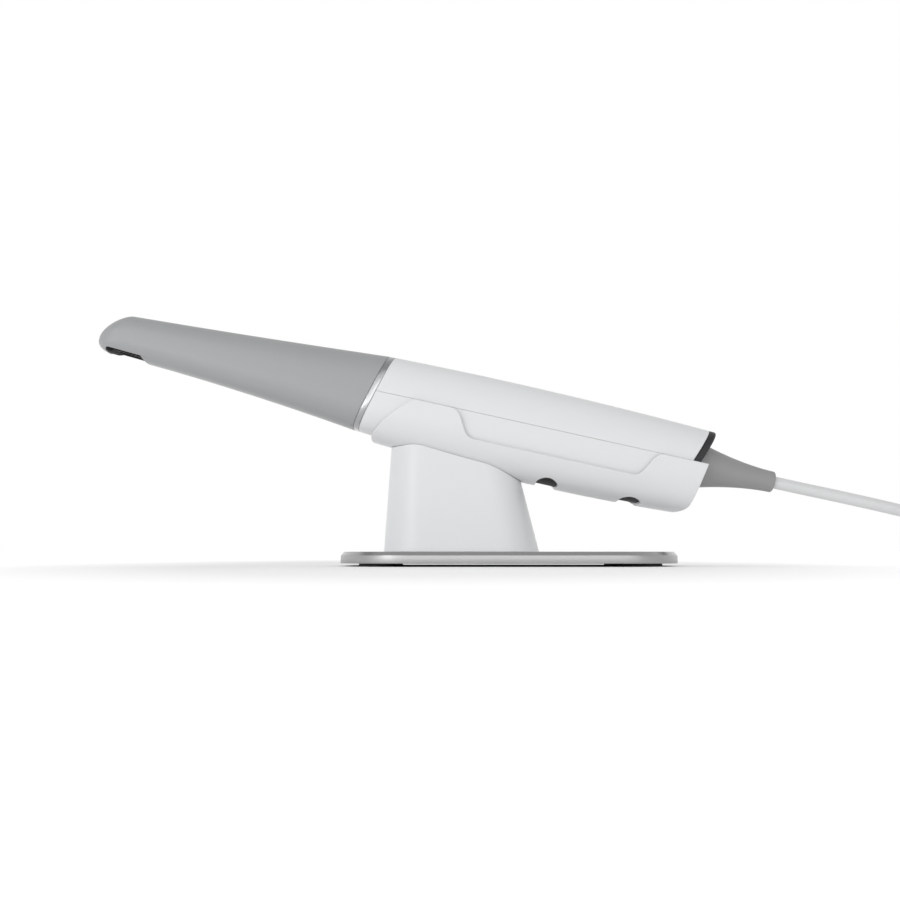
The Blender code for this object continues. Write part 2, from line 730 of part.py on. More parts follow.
def pedestal():
    bottom = plate_top + seat_gap
    high = 60 * MM
    rings = []
    for z in (bottom, high):
        rise = z - bottom
        front = pedestal_centre - pedestal_foot_length / 2 + rise * math.tan(pedestal_front_draft)
        rear = pedestal_centre + pedestal_foot_length / 2 - rise * math.tan(pedestal_rear_draft)
        half_width = pedestal_half_width - rise * math.tan(pedestal_side_draft)
        middle, half_length = (front + rear) / 2, (rear - front) / 2
        ring = obround(half_length, half_width, z, middle, 48)
        for point in ring:
            point.y *= 1 - pedestal_plan_taper * (point.x - middle) / half_length / 2
        rings.append(ring)
    block = loft("pedestal", rings, white_plastic)
    skin = -tray_clearance - tray_wall - seat_gap
    tray_form = [handle_section(at, 0, skin) for at, _ in handle_stations(-20 * MM, tray_rear + 20 * MM, 0, 0, 9)]
    cut(block, loft("tray_bed", tray_form, None, scanner_axis, cutters))
    half_length = pedestal_foot_length / 2 - pedestal_pocket_wall
    half_width = pedestal_half_width - pedestal_pocket_side_wall
    pocket = loft("pedestal_pocket", [
        obround(half_length - 3 * MM * k, half_width - MM * k, z, pedestal_centre, 32)
        for k, z in enumerate((bottom - MM, bottom + pedestal_pocket_depth))
    ], None, None, cutters)
    cut(block, pocket)
    return block


def base_plate():
    half_length, half_width = plate_length / 2, plate_width / 2
    rings = [rounded_rectangle(half_length - inset, half_width - inset, plate_corner - inset, z, plate_centre)
             for inset, z in ((0, plate_bottom), (0, plate_top - plate_chamfer), (plate_chamfer, plate_top))]
    plate = loft("base_plate", rings, bright_metal, smooth=25)
    for number, (sign_x, sign_y) in enumerate(((-1, -1), (1, -1), (1, 1), (-1, 1)), 1):
        x = plate_centre + sign_x * (half_length - foot_inset_x)
        y = sign_y * (half_width - foot_inset_y)
        top = plate_bottom + foot_recess
        rod(f"foot_{number}", (x, y, 0), (x, y, top - seat_gap), foot_radius, black_rubber)
        recess = rod(f"foot_recess_{number}", (x, y, plate_bottom - MM), (x, y, top), foot_radius + seat_gap, None,
                     group=cutters)
        cut(plate, recess)
    return plate


def pedestal_screws(plate, block):
    for side, name in ((-1, "front"), (1, "rear")):
        x = pedestal_centre + side * screw_half_spacing
        seat = plate_bottom + 0.4 * MM
        shoulder = seat + screw_head_height
        screw = rod(f"pedestal_screw_{name}", (x, 0, seat), (x, 0, shoulder), screw_head_radius, machined_alloy,
                    facets=20)
        shank = rod(f"screw_shank_{name}", (x, 0, shoulder - MM), (x, 0, seat + screw_length), screw_radius, None,
                    group=cutters, facets=20)
        shape_with(screw, shank, "UNION")
        head_hole = rod(f"screw_head_hole_{name}", (x, 0, plate_bottom - MM), (x, 0, shoulder + seat_gap),
                        screw_head_radius + seat_gap, None, group=cutters, facets=20)
        shank_hole = rod(f"screw_hole_{name}", (x, 0, plate_bottom - MM), (x, 0, seat + screw_length + seat_gap),
                         screw_radius + seat_gap, None, group=cutters, facets=20)
        cut(plate, head_hole, shank_hole)
        cut(block, shank_hole)


def rest_pads():
    """Rubber strips on the tray's floor under the handle, seen through the slots."""
    skin = -seat_gap
    low = -tray_clearance - pad_thickness
    first, turn = math.radians(222), math.radians(96)
    floor = -handle_belly_depth - tray_wall
    for number, at in enumerate(slot_half_reach, 1):
        rings = []
        for place in (at - slot_width / 2, at + slot_width / 2):
            upper = handle_section(place, 0, skin, first, turn, 16)
            lower = handle_section(place, 0, low, first, turn, 16)
            rings.append(lower + upper[::-1])
        pad = loft(f"rest_pad_{number}", rings, black_rubber, scanner_axis)
        shape_with(pad, across_slot(f"pad_outline_{number}", at, seat_gap, floor), "INTERSECT")


def smooth_run(points, spacing):
    """Points along one smooth curve through a route, about one spacing apart."""
    run = []
    padded = [2 * points[0] - points[1]] + points + [2 * points[-1] - points[-2]]
    for before, start, end, after in zip(padded, padded[1:], padded[2:], padded[3:]):
        steps = max(1, round((end - start).length / spacing))
        for k in range(steps):
            t = k / steps
            run.append(0.5 * (2 * start + (end - before) * t + (2 * before - 5 * start + 4 * end - after) * t ** 2
                              + (3 * start - before - 3 * end + after) * t ** 3))
    return run + [points[-1]]


def cord(name, points):
    curve = bpy.data.curves.new(name, "CURVE")
    curve.dimensions = "3D"
    curve.bevel_depth = cable_radius
    curve.bevel_resolution = 2
    curve.use_fill_caps = True
    line = curve.splines.new("POLY")
    line.points.add(len(points) - 1)
    for spot, point in zip(line.points, points):
        spot.co = (*point, 1)
    return new_object(name, curve, cable_white)


def cable_and_plug():
    def on_axis(along, height):
        return Vector((ring_centre_x + along * lean_cos + height * lean_sin, 0,
                       ring_centre_height - along * lean_sin + height * lean_cos))

    start = on_axis(boot_end + seat_gap, boot_centre_height)
    straight = on_axis(boot_end + 5 * cable_radius, boot_centre_height)
    route = [start, straight] + [Vector(point) * MM for point in cable_route]
    cord("cable", smooth_run(route, 5 * cable_radius))
    rings = []
    for radius, z in ((coil_outer_radius, desk_gap), (coil_outer_radius, coil_height),
                      (coil_inner_radius, coil_height), (coil_inner_radius, desk_gap)):
        rings.append([Vector((coil_centre[0] + radius * math.cos(angle), coil_centre[1] + radius * math.sin(angle), z))
                      for angle in (math.tau * k / 48 for k in range(48))])
    loft("cable_coil", rings, cable_white, loop=True)
    cord("cable_tail", smooth_run([Vector(point) * MM for point in tail_route], 5 * cable_radius))
    x, y = plug_start
    body = box("plug_body", (x, y - plug_half_width, desk_gap),
               (x + plug_length, y + plug_half_width, 2 * plug_half_height), black_plastic, bevel=1.5 * MM)
    neck = rod("plug_neck", (x - 7 * MM, y, plug_half_height), (x + MM, y, plug_half_height), 3.4 * MM, None,
               group=cutters, facets=20, end_radius=4.2 * MM)
    shape_with(body, neck, "UNION")
    tongue = x + plug_length + seat_gap
    box("plug_connector", (tongue, y - plug_tongue_half_width, plug_half_height - plug_tongue_half_height),
        (tongue + plug_tongue_length, y + plug_tongue_half_width, plug_half_height + plug_tongue_half_height),
        bright_metal)


removable_tip()
trim_ring_and_nose()
handle_shells()
optics_and_electronics()
rear_end()
cradle_tray()
rest_pads()
pedestal_block = pedestal()
metal_plate = base_plate()
pedestal_screws(metal_plate, pedestal_block)
cable_and_plug()
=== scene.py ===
"""Intraoral scanner in its desk cradle: finishes, fine surfaces, cable, light and camera.

Metres, +Z up, +X towards the cable. The scanner's own pieces are shaped along its axis, where x runs
towards the cable and z towards the back of the hand, and then set in place by one matrix.
"""

import math

import bpy
from mathutils import Matrix, Vector

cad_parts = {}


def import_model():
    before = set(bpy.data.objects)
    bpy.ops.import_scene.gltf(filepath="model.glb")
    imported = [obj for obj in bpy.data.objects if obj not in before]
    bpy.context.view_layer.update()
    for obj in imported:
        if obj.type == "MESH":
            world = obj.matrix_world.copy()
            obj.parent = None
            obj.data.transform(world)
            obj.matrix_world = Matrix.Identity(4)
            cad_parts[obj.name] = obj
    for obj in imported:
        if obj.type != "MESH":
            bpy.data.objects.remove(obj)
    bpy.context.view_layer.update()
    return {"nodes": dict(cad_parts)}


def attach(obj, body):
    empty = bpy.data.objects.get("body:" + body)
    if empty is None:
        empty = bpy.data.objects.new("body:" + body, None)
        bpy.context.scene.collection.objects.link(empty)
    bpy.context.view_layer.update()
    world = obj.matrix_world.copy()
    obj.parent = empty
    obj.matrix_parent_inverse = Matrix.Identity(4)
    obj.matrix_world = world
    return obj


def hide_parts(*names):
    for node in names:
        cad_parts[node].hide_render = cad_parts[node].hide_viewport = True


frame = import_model()
nodes = frame["nodes"]

MM = 0.001

# Fits
seat_gap = 0.3 * MM
cut_past = 6 * MM
tray_clearance = 0.5 * MM
nose_clearance = 0.4 * MM

# Handle
crown_reach = 100 * MM
handle_length = 142.9 * MM
handle_half_width, handle_width_drop, handle_width_crown_at = 16.8 * MM, 1.2 * MM, 60 * MM
handle_back_height, handle_back_drop, handle_back_crown_at = 17.8 * MM, 2.3 * MM, 50 * MM
handle_belly_depth, handle_belly_drop, handle_belly_crown_at = 22.1 * MM, 4.9 * MM, 85 * MM
handle_squareness = 3.2
handle_wall = 1.8 * MM
parting_height = -0.55 * MM
parting_gap = 0.12 * MM
shell_edge, shell_end_land = 0.25 * MM, 2 * MM

# Trim ring, rear cap and cable boot
ring_front, ring_band, ring_lean, ring_wall = -1.4 * MM, 2.5 * MM, 0.26, 1.6 * MM
ring_edge, ring_seam = 0.15 * MM, 0.12 * MM
cap_thickness, cap_lean, cap_edge, cap_front_edge = 3.25 * MM, 0.38, 1.2 * MM, 0.2 * MM
boot_centre_height = -0.4 * MM
boot_root_radius, boot_end_radius, boot_reach = 10.0 * MM, 4.75 * MM, 36.2 * MM
boot_flange_radius, boot_flange_thickness = 12.5 * MM, 3 * MM
boot_mouth_radius, boot_mouth_depth, boot_mouth_edge = 3.0 * MM, 2.5 * MM, 0.2 * MM
boot_end_round, boot_shoulder_step, boot_flare = 0.9 * MM, 0.4 * MM, 1.75

# Removable tip and the fixed nose inside it
tip_wall, tip_length, nose_length = 1.4 * MM, 126.7 * MM, 13.3 * MM
nose_top_power, nose_bottom_power, nose_side_power = 1.45, 3, 2.6
neck_top, neck_bottom, neck_half_width = 10.6 * MM, 8.5 * MM, 10.2 * MM
nose_height, neck_squareness = -2.2 * MM, 2.7
tip_top_slopes, tip_bottom_slopes, tip_side_slopes = (1.27, 0.8), (1.25, 0.45), (1.25, 0.6)
tip_straight_end, tip_lean_power = -4 * MM, 4
window_front, window_back = 123 * MM, 106 * MM
window_notch_front_height, window_notch_back_height = -6 * MM, -6.8 * MM
window_corner, window_back_slope = 1.2 * MM, 0.9
bezel_bottom, bezel_front_rise, bezel_lip_bottom = -7.35 * MM, 0.75 * MM, -7.4 * MM
bezel_lip_length, bezel_lip_ramp, bezel_gap = 2.6 * MM, 1.6 * MM, 0.15 * MM
bezel_frame, bezel_front_frame = 2.2 * MM, 5.4 * MM
opening_half_width, opening_corner, opening_top = 4.2 * MM, 1 * MM, -3 * MM
glass_bottom, glass_top, glass_overlap = -5.75 * MM, -5.15 * MM, 1 * MM
nose_tube_reach, nose_tube_wall, nose_tube_tail, nose_tube_shoulder = 60 * MM, 1.6 * MM, 16 * MM, 8 * MM

# Scan button
button_at, button_length, button_half_width = 46 * MM, 17 * MM, 4.5 * MM
button_proud, button_cap_thickness, button_edge, button_dish = 0.15 * MM, 3 * MM, 0.5 * MM, 0.25 * MM
button_stem_radius = 1.6 * MM
button_stem_length = 3 * MM
button_dish_steps = ((1.2 * MM, 0.15), (1.8 * MM, 0.6), (2.6 * MM, 1))

# Cradle tray
tray_wall = 2.2 * MM
tray_lip = 0.4 * MM
tray_front, tray_front_slope, tray_front_power = 3 * MM, 16 * MM, 1.22
tray_front_overlap = 1.8 * MM
tray_rim = -0.85 * MM
tray_front_lug_end, tray_cutout_slope, tray_cutout_depth = 34.5 * MM, 13.4 * MM, 11.5 * MM
tray_cutout_power = 2.2
tray_settling_rounds, tray_settling_share = 14, 0.7
tray_rear_lug, tray_past_cap, tray_rear_lean = 32.3 * MM, 2.7 * MM, 0.25
tray_rear_round, tray_rear_round_setback, tray_rear_round_lift = 4.8 * MM, 2.75 * MM, 3.1 * MM
tray_rear_round_end = math.radians(-18)
slot_width = 9.6 * MM
slot_half_reach = {83.5 * MM: 14.5 * MM, 120.8 * MM: 13.2 * MM}
slot_below, slot_above = 4 * MM, 9 * MM

# Pedestal
pedestal_foot_length, pedestal_half_width, pedestal_centre = 69.4 * MM, 17.3 * MM, 11.6 * MM
pedestal_plan_taper = 0.12
pedestal_front_draft, pedestal_rear_draft, pedestal_side_draft = 3.9, 14.3, 3.0
pedestal_foot_gap, pedestal_foot_edge, pedestal_height = 0.03 * MM, 0.15 * MM, 60 * MM
pedestal_pocket_wall, pedestal_pocket_side_wall, pedestal_pocket_depth = 14 * MM, 4 * MM, 22 * MM
pedestal_pocket_taper = (3 * MM, 1 * MM)

# Base plate, feet and screws
foot_height, foot_recess = 1.3 * MM, 0.6 * MM
plate_length, plate_width, plate_thickness = 145.4 * MM, 92 * MM, 4.95 * MM
plate_corner, plate_chamfer, plate_centre, plate_soft = 30 * MM, 1.6 * MM, 31.85 * MM, 0.25 * MM
foot_radius, foot_inset_x, foot_inset_y = 8 * MM, 17 * MM, 16 * MM
screw_radius, screw_head_radius, screw_head_height, screw_length = 2 * MM, 4 * MM, 2.2 * MM, 13 * MM
screw_half_spacing, screw_seat = 26 * MM, 0.4 * MM

# Cable, coil and plug
cable_diameter = 5.5 * MM
cable_spacing, cable_straight, cable_in_mouth = 2.5 * MM, 2.5 * cable_diameter, 0.5 * MM
cable_route = (
    (185, 0, 30.2), (211, 0, 24.2), (229, 0, 19.2), (243, 0, 14.8), (254, 0, 11.7), (265, 0, 9.3),
)
tail_route = (
    (234.6, -18.4, 2.9), (234.6, -6, 2.9), (236.6, 6, 2.9), (242, 17, 2.9), (250, 24, 3.6),
    (259.7, 26.8, 4.5),
)
coil_centre = Vector((276 * MM, -41.4 * MM, 0))
coil_outer_turn, coil_last_top_turn, coil_inner_turn = 41.4 * MM, 24.6 * MM, 23.0 * MM
coil_top_height, coil_floor_height = 8.45 * MM, 2.87 * MM
coil_layer_turns, coil_drop_turns, coil_steps_per_turn = 3, 0.75, 72
coil_inward_share, coil_smoothings, cable_smoothings = 0.4, 10, 4
plug_start, plug_length = (268 * MM, 27 * MM), 34 * MM
plug_half_width, plug_half_height, plug_corner = 7.6 * MM, 4.6 * MM, 1.6 * MM
plug_front_edge, plug_rear_edge = 1.2 * MM, 0.8 * MM
plug_neck_start, plug_neck_radius, plug_neck_ribs = -7 * MM, 3.1 * MM, 4
plug_rib_pitch, plug_rib_height, plug_neck_flare = 1.8 * MM, 0.35 * MM, 0.15 * MM
plug_shell_length, plug_shell_half_width, plug_shell_half_height = 16 * MM, 6 * MM, 2.25 * MM
plug_shell_wall, plug_shell_corner, plug_shell_inner_corner = 0.35 * MM, 0.6 * MM, 0.4 * MM
plug_window_at, plug_window_side, plug_window_half, plug_window_corner = 6 * MM, 2.9 * MM, 1.2 * MM, 0.2 * MM
plug_tongue_side_gap, plug_tongue_half_thickness, plug_tongue_corner = 0.5 * MM, 0.9 * MM, 0.15 * MM
plug_tongue_drop, plug_tongue_setback, plug_shell_gap = 0.8 * MM, 0.8 * MM, 0.1 * MM

ring_back = ring_front + ring_band
handle_front = ring_back + ring_seam
cap_front = ring_back + handle_length
cap_back = cap_front + cap_thickness
tip_back = ring_front - ring_seam
neck_at = ring_front - tip_length + nose_length
boot_end = cap_back + boot_reach
tray_rear = cap_back + tray_past_cap
tray_cutout_end = tray_rear - tray_rear_lug
plate_bottom, plate_top = foot_height, foot_height + plate_thickness

# The scanner's place: midway between nose and boot end along X, leaning towards the cable
scanner_tilt = math.radians(12.5)
ring_centre_height = 77.5 * MM
nose_end_height = 1.8 * nose_height
nose_end_x = (ring_front - tip_length) * math.cos(scanner_tilt) + nose_end_height * math.sin(scanner_tilt)
boot_end_x = (boot_end * math.cos(scanner_tilt)
              + (boot_centre_height + boot_end_radius) * math.sin(scanner_tilt))
ring_centre = Vector((-(nose_end_x + boot_end_x) / 2, 0, ring_centre_height))
on_scanner = Matrix.Translation(ring_centre) @ Matrix.Rotation(scanner_tilt, 4, "Y")
upright = Matrix.Identity(4)


class Wire:
    """A shader value that can be added, subtracted and multiplied."""

    def __init__(self, socket):
        self.socket = socket

    def worked(self, operation, first, second):
        tree = self.socket.id_data
        node = tree.nodes.new("ShaderNodeMath")
        node.operation = operation
        for slot, value in zip(node.inputs, (first, second)):
            if isinstance(value, Wire):
                tree.links.new(value.socket, slot)
            else:
                slot.default_value = value
        return Wire(node.outputs[0])

    def __add__(self, other):
        return self.worked("ADD", self, other)

    def __sub__(self, other):
        return self.worked("SUBTRACT", self, other)

    def __rsub__(self, other):
        return self.worked("SUBTRACT", other, self)

    def __mul__(self, other):
        return self.worked("MULTIPLY", self, other)

    __radd__ = __add__
    __rmul__ = __mul__


class Shading:
    """A node tree and the one way its nodes are made."""

    def __init__(self, tree):
        self.tree = tree

    def plug(self, slot, value):
        if isinstance(value, Wire):
            self.tree.links.new(value.socket, slot)
        else:
            slot.default_value = value

    def node(self, kind, settings=(), output=0, **sockets):
        made = self.tree.nodes.new("ShaderNode" + kind)
        for key, value in dict(settings).items():
            if key == "stops":
                for element, (place, tone) in zip(made.color_ramp.elements, value):
                    element.position = place
                    element.color = (tone, tone, tone, 1)
            else:
                setattr(made, key, value)
        for name, value in sockets.items():
            key = int(name[1:]) if name[0] == "_" else name.replace("_", " ")
            self.plug(made.inputs[key], value)
        return Wire(made.outputs[output])


class Finish(Shading):
    """A material under construction."""

    def __init__(self, name, colour, roughness, metallic=0.0, **constants):
        self.material = bpy.data.materials.new(name)
        self.material.use_nodes = True
        super().__init__(self.material.node_tree)
        self.shader = self.tree.nodes["Principled BSDF"]
        self.set(Base_Color=(*colour, 1), Roughness=roughness, Metallic=metallic, **constants)

    def set(self, **sockets):
        for name, value in sockets.items():
            self.plug(self.shader.inputs[name.replace("_", " ")], value)

    def noise(self, size, detail=2.0, stretch=(1, 1, 1), lean=0.0):
        spot = self.node("TexCoord", output=3)
        placed = self.node("Mapping", Vector=spot, Scale=stretch, Rotation=(0, lean, 0))
        return self.node("TexNoise", Vector=placed, Scale=1 / size, Detail=detail)

    def tint(self, factor, dark, light):
        """A colour that runs between two shades as a factor goes from 0 to 1."""
        return self.node("Mix", {"data_type": "RGBA"}, 2, _0=factor, _6=(*dark, 1), _7=(*light, 1))

    def grain(self, height, strength, distance):
        self.set(Normal=self.node("Bump", Height=height, Strength=strength, Distance=distance))


def moulded_plastic(name, colour, roughness, texture=0.35 * MM, relief=0.08, spread=0.02, shine=0.5):
    """Satin moulded plastic with a fine eroded texture and a trace of flow in its tone and gloss."""
    finish = Finish(name, colour, roughness, Specular_IOR_Level=shine)
    fine = finish.noise(texture, 3)
    slow = finish.noise(22 * MM, 1)
    darker = tuple(c * (1 - spread) for c in colour)
    lighter = tuple(min(c * (1 + spread), 1) for c in colour)
    finish.set(Base_Color=finish.tint(slow, darker, lighter))
    finish.set(Roughness=roughness - 0.04 + slow * 0.05 + fine * 0.04)
    finish.grain(fine, relief, 0.04 * MM)
    return finish.material


def brushed_metal(name, colour, roughness, stretch, lean=0.0, relief=0.10):
    """Bright metal with fine brushing in one direction."""
    finish = Finish(name, colour, roughness, 1.0)
    lines = finish.noise(0.3 * MM, 3, stretch, lean)
    clouds = finish.noise(14 * MM, 1)
    darker = tuple(c * 0.93 for c in colour)
    finish.set(Base_Color=finish.tint(lines, darker, colour))
    finish.set(Roughness=roughness - 0.06 + lines * 0.08 + clouds * 0.04)
    finish.grain(lines, relief, 0.03 * MM)
    return finish.material


def plate_with_painted_shade_and_light():
    """Brushed plate: a satin rim painted darker as painted shade of the dark surroundings it reflects, a
    chamfer cut bright, and the palest metal on top, painted lighter to throw more light up onto the stand.
    """
    # The rim tone is set darker as painted shade, and the top tone paler as painted light.
    painted_shade_rim_tone, painted_light_top_tone, rim_roughness, bright_roughness = 0.43, 0.85, 0.32, 0.17
    finish = Finish("plate_metal", (painted_shade_rim_tone, painted_shade_rim_tone, painted_shade_rim_tone), rim_roughness, 1.0)
    lines = finish.noise(0.3 * MM, 3, (0.03, 1, 1))
    spot = finish.node("TexCoord", output=3)
    height = finish.node("SeparateXYZ", output=2, Vector=spot)
    bright = height.worked("GREATER_THAN", height, plate_top - plate_chamfer)
    top = height.worked("GREATER_THAN", height, plate_top - 0.05 * MM)
    # The rim's darker tone is painted shade standing in for the dark surroundings it reflects. The top's
    # paler tone is painted light, raising the light it bounces onto the stand.
    finish.set(Base_Color=(painted_shade_rim_tone + top * (painted_light_top_tone - painted_shade_rim_tone)) * (0.94 + lines * 0.12))
    finish.set(Roughness=rim_roughness - bright * (rim_roughness - bright_roughness) + lines * 0.12)
    finish.grain(lines, 0.1, 0.03 * MM)
    return finish.material


def optical_glass():
    finish = Finish("optical_glass", (0.9, 0.95, 0.97), 0.03, IOR=1.5, Alpha=0.35)
    finish.set(Roughness=0.02 + finish.noise(9 * MM, 1) * 0.02)
    return finish.material


def circuit_board():
    """Green lacquer with paler tracks."""
    finish = Finish("circuit_board", (0.02, 0.16, 0.07), 0.45)
    spot = finish.node("TexCoord", output=3)
    cells = finish.node("TexVoronoi", {"feature": "DISTANCE_TO_EDGE"}, Vector=spot, Scale=420.0)
    track = finish.node("ValToRGB", {"stops": ((0.02, 1), (0.05, 0))}, Fac=cells)
    finish.set(Base_Color=finish.tint(track, (0.015, 0.12, 0.05), (0.06, 0.3, 0.14)))
    finish.grain(track, 0.2, 0.03 * MM)
    return finish.material


white_shell = moulded_plastic("white_shell", (0.79, 0.80, 0.81), 0.34, spread=0.006)
tip_grey = moulded_plastic("tip_grey", (0.37, 0.376, 0.382), 0.4, spread=0.01)
dark_cap = moulded_plastic("dark_cap", (0.028, 0.028, 0.03), 0.5, relief=0.2, shine=0.35)
boot_grey = moulded_plastic("boot_grey", (0.32, 0.32, 0.32), 0.55, texture=0.5 * MM, relief=0.12)
black_trim = moulded_plastic("black_trim", (0.012, 0.012, 0.013), 0.6, shine=0.05)
black_rubber = moulded_plastic("black_rubber", (0.02, 0.02, 0.02), 0.75, texture=0.4 * MM, relief=0.3)
cable_white = moulded_plastic("cable_white", (0.74, 0.745, 0.75), 0.4, texture=0.6 * MM, relief=0.06)
anodised_black = moulded_plastic("anodised_black", (0.03, 0.03, 0.035), 0.38, texture=0.25 * MM)
ring_metal = brushed_metal("ring_metal", (0.5, 0.507, 0.515), 0.26, stretch=(1, 0.05, 0.05),
                           lean=-scanner_tilt - math.atan(ring_lean))
plate_metal = plate_with_painted_shade_and_light()
machined_alloy = brushed_metal("machined_alloy", (0.6, 0.61, 0.62), 0.35, stretch=(0.1, 1, 1),
                               lean=scanner_tilt)
screw_steel = brushed_metal("screw_steel", (0.6, 0.61, 0.62), 0.3, stretch=(1, 1, 0.1))
plug_metal = brushed_metal("plug_metal", (0.72, 0.73, 0.74), 0.22, stretch=(0.05, 1, 1), relief=0.04)
mirror_silver = brushed_metal("mirror_silver", (0.9, 0.9, 0.91), 0.08, stretch=(1, 1, 1), relief=0.0)
clear_glass = optical_glass()
board_green = circuit_board()


def dress(material, *names, edge=0.0):
    """Give carried-over solids their finish, and soften their edges where they have any to soften."""
    for name in names:
        node = nodes[name]
        node.data.materials.clear()
        node.data.materials.append(material)
        node.data.shade_smooth()
        node.data.set_sharp_from_angle(angle=math.radians(32))
        if edge:
            rounding = node.modifiers.new("edge", "BEVEL")
            rounding.width = edge
            rounding.segments = 3
            rounding.limit_method = "ANGLE"
            rounding.angle_limit = math.radians(50)


def add_piece(name, shape, material, body=None, where=on_scanner, sharp=32):
    """A new piece from points and faces, smooth but for its real edges."""
    points, faces = shape
    mesh = bpy.data.meshes.new(name)
    mesh.from_pydata([where @ Vector(point) for point in points], [], faces)
    mesh.materials.append(material)
    mesh.shade_smooth()
    mesh.set_sharp_from_angle(angle=math.radians(sharp))
    piece = bpy.data.objects.new(name, mesh)
    bpy.context.scene.collection.objects.link(piece)
    if body:
        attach(piece, body)
    return piece


def carve(piece, shape, operation="DIFFERENCE", where=on_scanner, sharp=32):
    """Cut another form out of a piece, or keep only what lies inside it."""
    tool = add_piece("tool", shape, piece.data.materials[0], None, where)
    change = piece.modifiers.new("carving", "BOOLEAN")
    change.operation = operation
    change.solver = "EXACT"
    change.object = tool
    carved = bpy.data.meshes.new_from_object(piece.evaluated_get(bpy.context.evaluated_depsgraph_get()))
    piece.modifiers.clear()
    piece.data = carved
    carved.shade_smooth()
    carved.set_sharp_from_angle(angle=math.radians(sharp))
    bpy.data.objects.remove(tool, do_unlink=True)


def skin(rings, loop=False):
    """Points and faces of a skin over rings, each counter-clockwise and in order along the piece."""
    count = len(rings[0])
    faces = []
    for start in range(len(rings) if loop else len(rings) - 1):
        here, there = start * count, (start + 1) % len(rings) * count
        for k in range(count):
            after = (k + 1) % count
            faces.append((here + k, here + after, there + after, there + k))
    if not loop:
        last = (len(rings) - 1) * count
        faces.append(tuple(reversed(range(count))))
        faces.append(tuple(range(last, last + count)))
    return [point for ring in rings for point in ring], faces


def quarter_round(radius, steps=4):
    """(setback along, inset) pairs of a rounded edge, from the flank to the face."""
    turns = [math.pi / 2 * k / steps for k in range(steps + 1)]
    return [(radius * (1 - math.sin(turn)), radius * (1 - math.cos(turn))) for turn in turns]


def spread(first, last, count):
    return [first + (last - first) * k / (count - 1) for k in range(count)]


def crowned(at, peak, drop, crown_at):
    return peak - drop * ((at - crown_at) / crown_reach) ** 2


def ease(share, start_slope=0.0, end_slope=0.0):
    """0 to 1 with a chosen slope at each end."""
    squared, cubed = share ** 2, share ** 3
    return (3 * squared - 2 * cubed + start_slope * (cubed - 2 * squared + share)
            + end_slope * (cubed - squared))


def full_turn(count=112):
    return [math.tau * k / count for k in range(count)]


def oval(half_width, bottom, top, squareness, angles):
    """Points (y, z) of an upright oval with squared sides, in the directions given."""
    middle, half_height = (top + bottom) / 2, (top - bottom) / 2
    points = []
    for angle in angles:
        across, up = math.cos(angle), math.sin(angle)
        reach = (abs(across) ** squareness + abs(up) ** squareness) ** (-1 / squareness)
        points.append((half_width * reach * across, middle + half_height * reach * up))
    return points


def handle_size(at, lean=0.0, inset=0.0):
    top = crowned(at + lean * handle_back_height, handle_back_height, handle_back_drop,
                  handle_back_crown_at)
    belly = crowned(at - lean * handle_belly_depth, handle_belly_depth, handle_belly_drop,
                    handle_belly_crown_at)
    half_width = crowned(at, handle_half_width, handle_width_drop, handle_width_crown_at)
    return half_width - inset, inset - belly, top - inset


def handle_section(at, lean=0.0, inset=0.0, angles=None):
    points = oval(*handle_size(at, lean, inset), handle_squareness, angles or full_turn())
    return [(at + lean * z, y, z) for y, z in points]


def height_angle(at, height, lean, inset):
    """The direction in which the handle's section crosses one height, on the +Y side."""
    _, bottom, top = handle_size(at, lean, inset)
    share = (height - (top + bottom) / 2) / ((top - bottom) / 2)
    rise = abs(share) / (1 - abs(share) ** handle_squareness) ** (1 / handle_squareness)
    return math.atan(math.copysign(rise, share))


ring_top = crowned(ring_front + ring_lean * handle_back_height, handle_back_height, handle_back_drop,
                   handle_back_crown_at)
ring_bottom = crowned(ring_front - ring_lean * handle_back_height, handle_belly_depth, handle_belly_drop,
                      handle_belly_crown_at)
ring_half_width = crowned(ring_front, handle_half_width, handle_width_drop, handle_width_crown_at)


def tip_section(at, lean=0.0, inset=0.0):
    """The tip's outline between the ring and the neck, narrowing in a gentle S."""
    share = min(max((ring_front - at) / (ring_front - neck_at), 0), 1)
    top = ring_top + (neck_top - ring_top) * ease(share, *tip_top_slopes)
    bottom = ring_bottom + (neck_bottom - ring_bottom) * ease(share, *tip_bottom_slopes)
    half_width = ring_half_width + (neck_half_width - ring_half_width) * ease(share, *tip_side_slopes)
    squareness = handle_squareness + (neck_squareness - handle_squareness) * share
    points = oval(half_width - inset, inset - bottom, top - inset, squareness, full_turn())
    return [(at + lean * z, y, z) for y, z in points]


def nose_section(share, inset=0.0):
    """The bullnose in front of the neck: share 0 is the neck and 1 the very front."""
    def fall(power):
        return (1 - share ** power) ** (1 / power)

    top = nose_height + (neck_top - inset - nose_height) * fall(nose_top_power)
    bottom = nose_height - (neck_bottom - inset + nose_height) * fall(nose_bottom_power)
    half_width = (neck_half_width - inset) * fall(nose_side_power)
    at = neck_at - (nose_length - inset) * share
    return [(at, y, z) for y, z in oval(half_width, bottom, top, neck_squareness, full_turn())]


def tip_skin(inset=0.0, edge=0.0):
    """Rings from the nose to the ring's seam, where they lean as the ring does."""
    nose_turns = [math.radians(angle) for angle in spread(88.6, 4, 22)]
    rings = [nose_section(math.sin(turn), inset) for turn in nose_turns]
    for at in spread(neck_at, tip_straight_end, 30):
        share = (at - neck_at) / (tip_back - neck_at)
        rings.append(tip_section(at, ring_lean * share ** tip_lean_power, inset))
    for setback, rounding in quarter_round(edge, 3) if edge else ((0, 0),):
        rings.append(tip_section(tip_back - edge + (edge - setback), ring_lean, inset + rounding))
    return rings


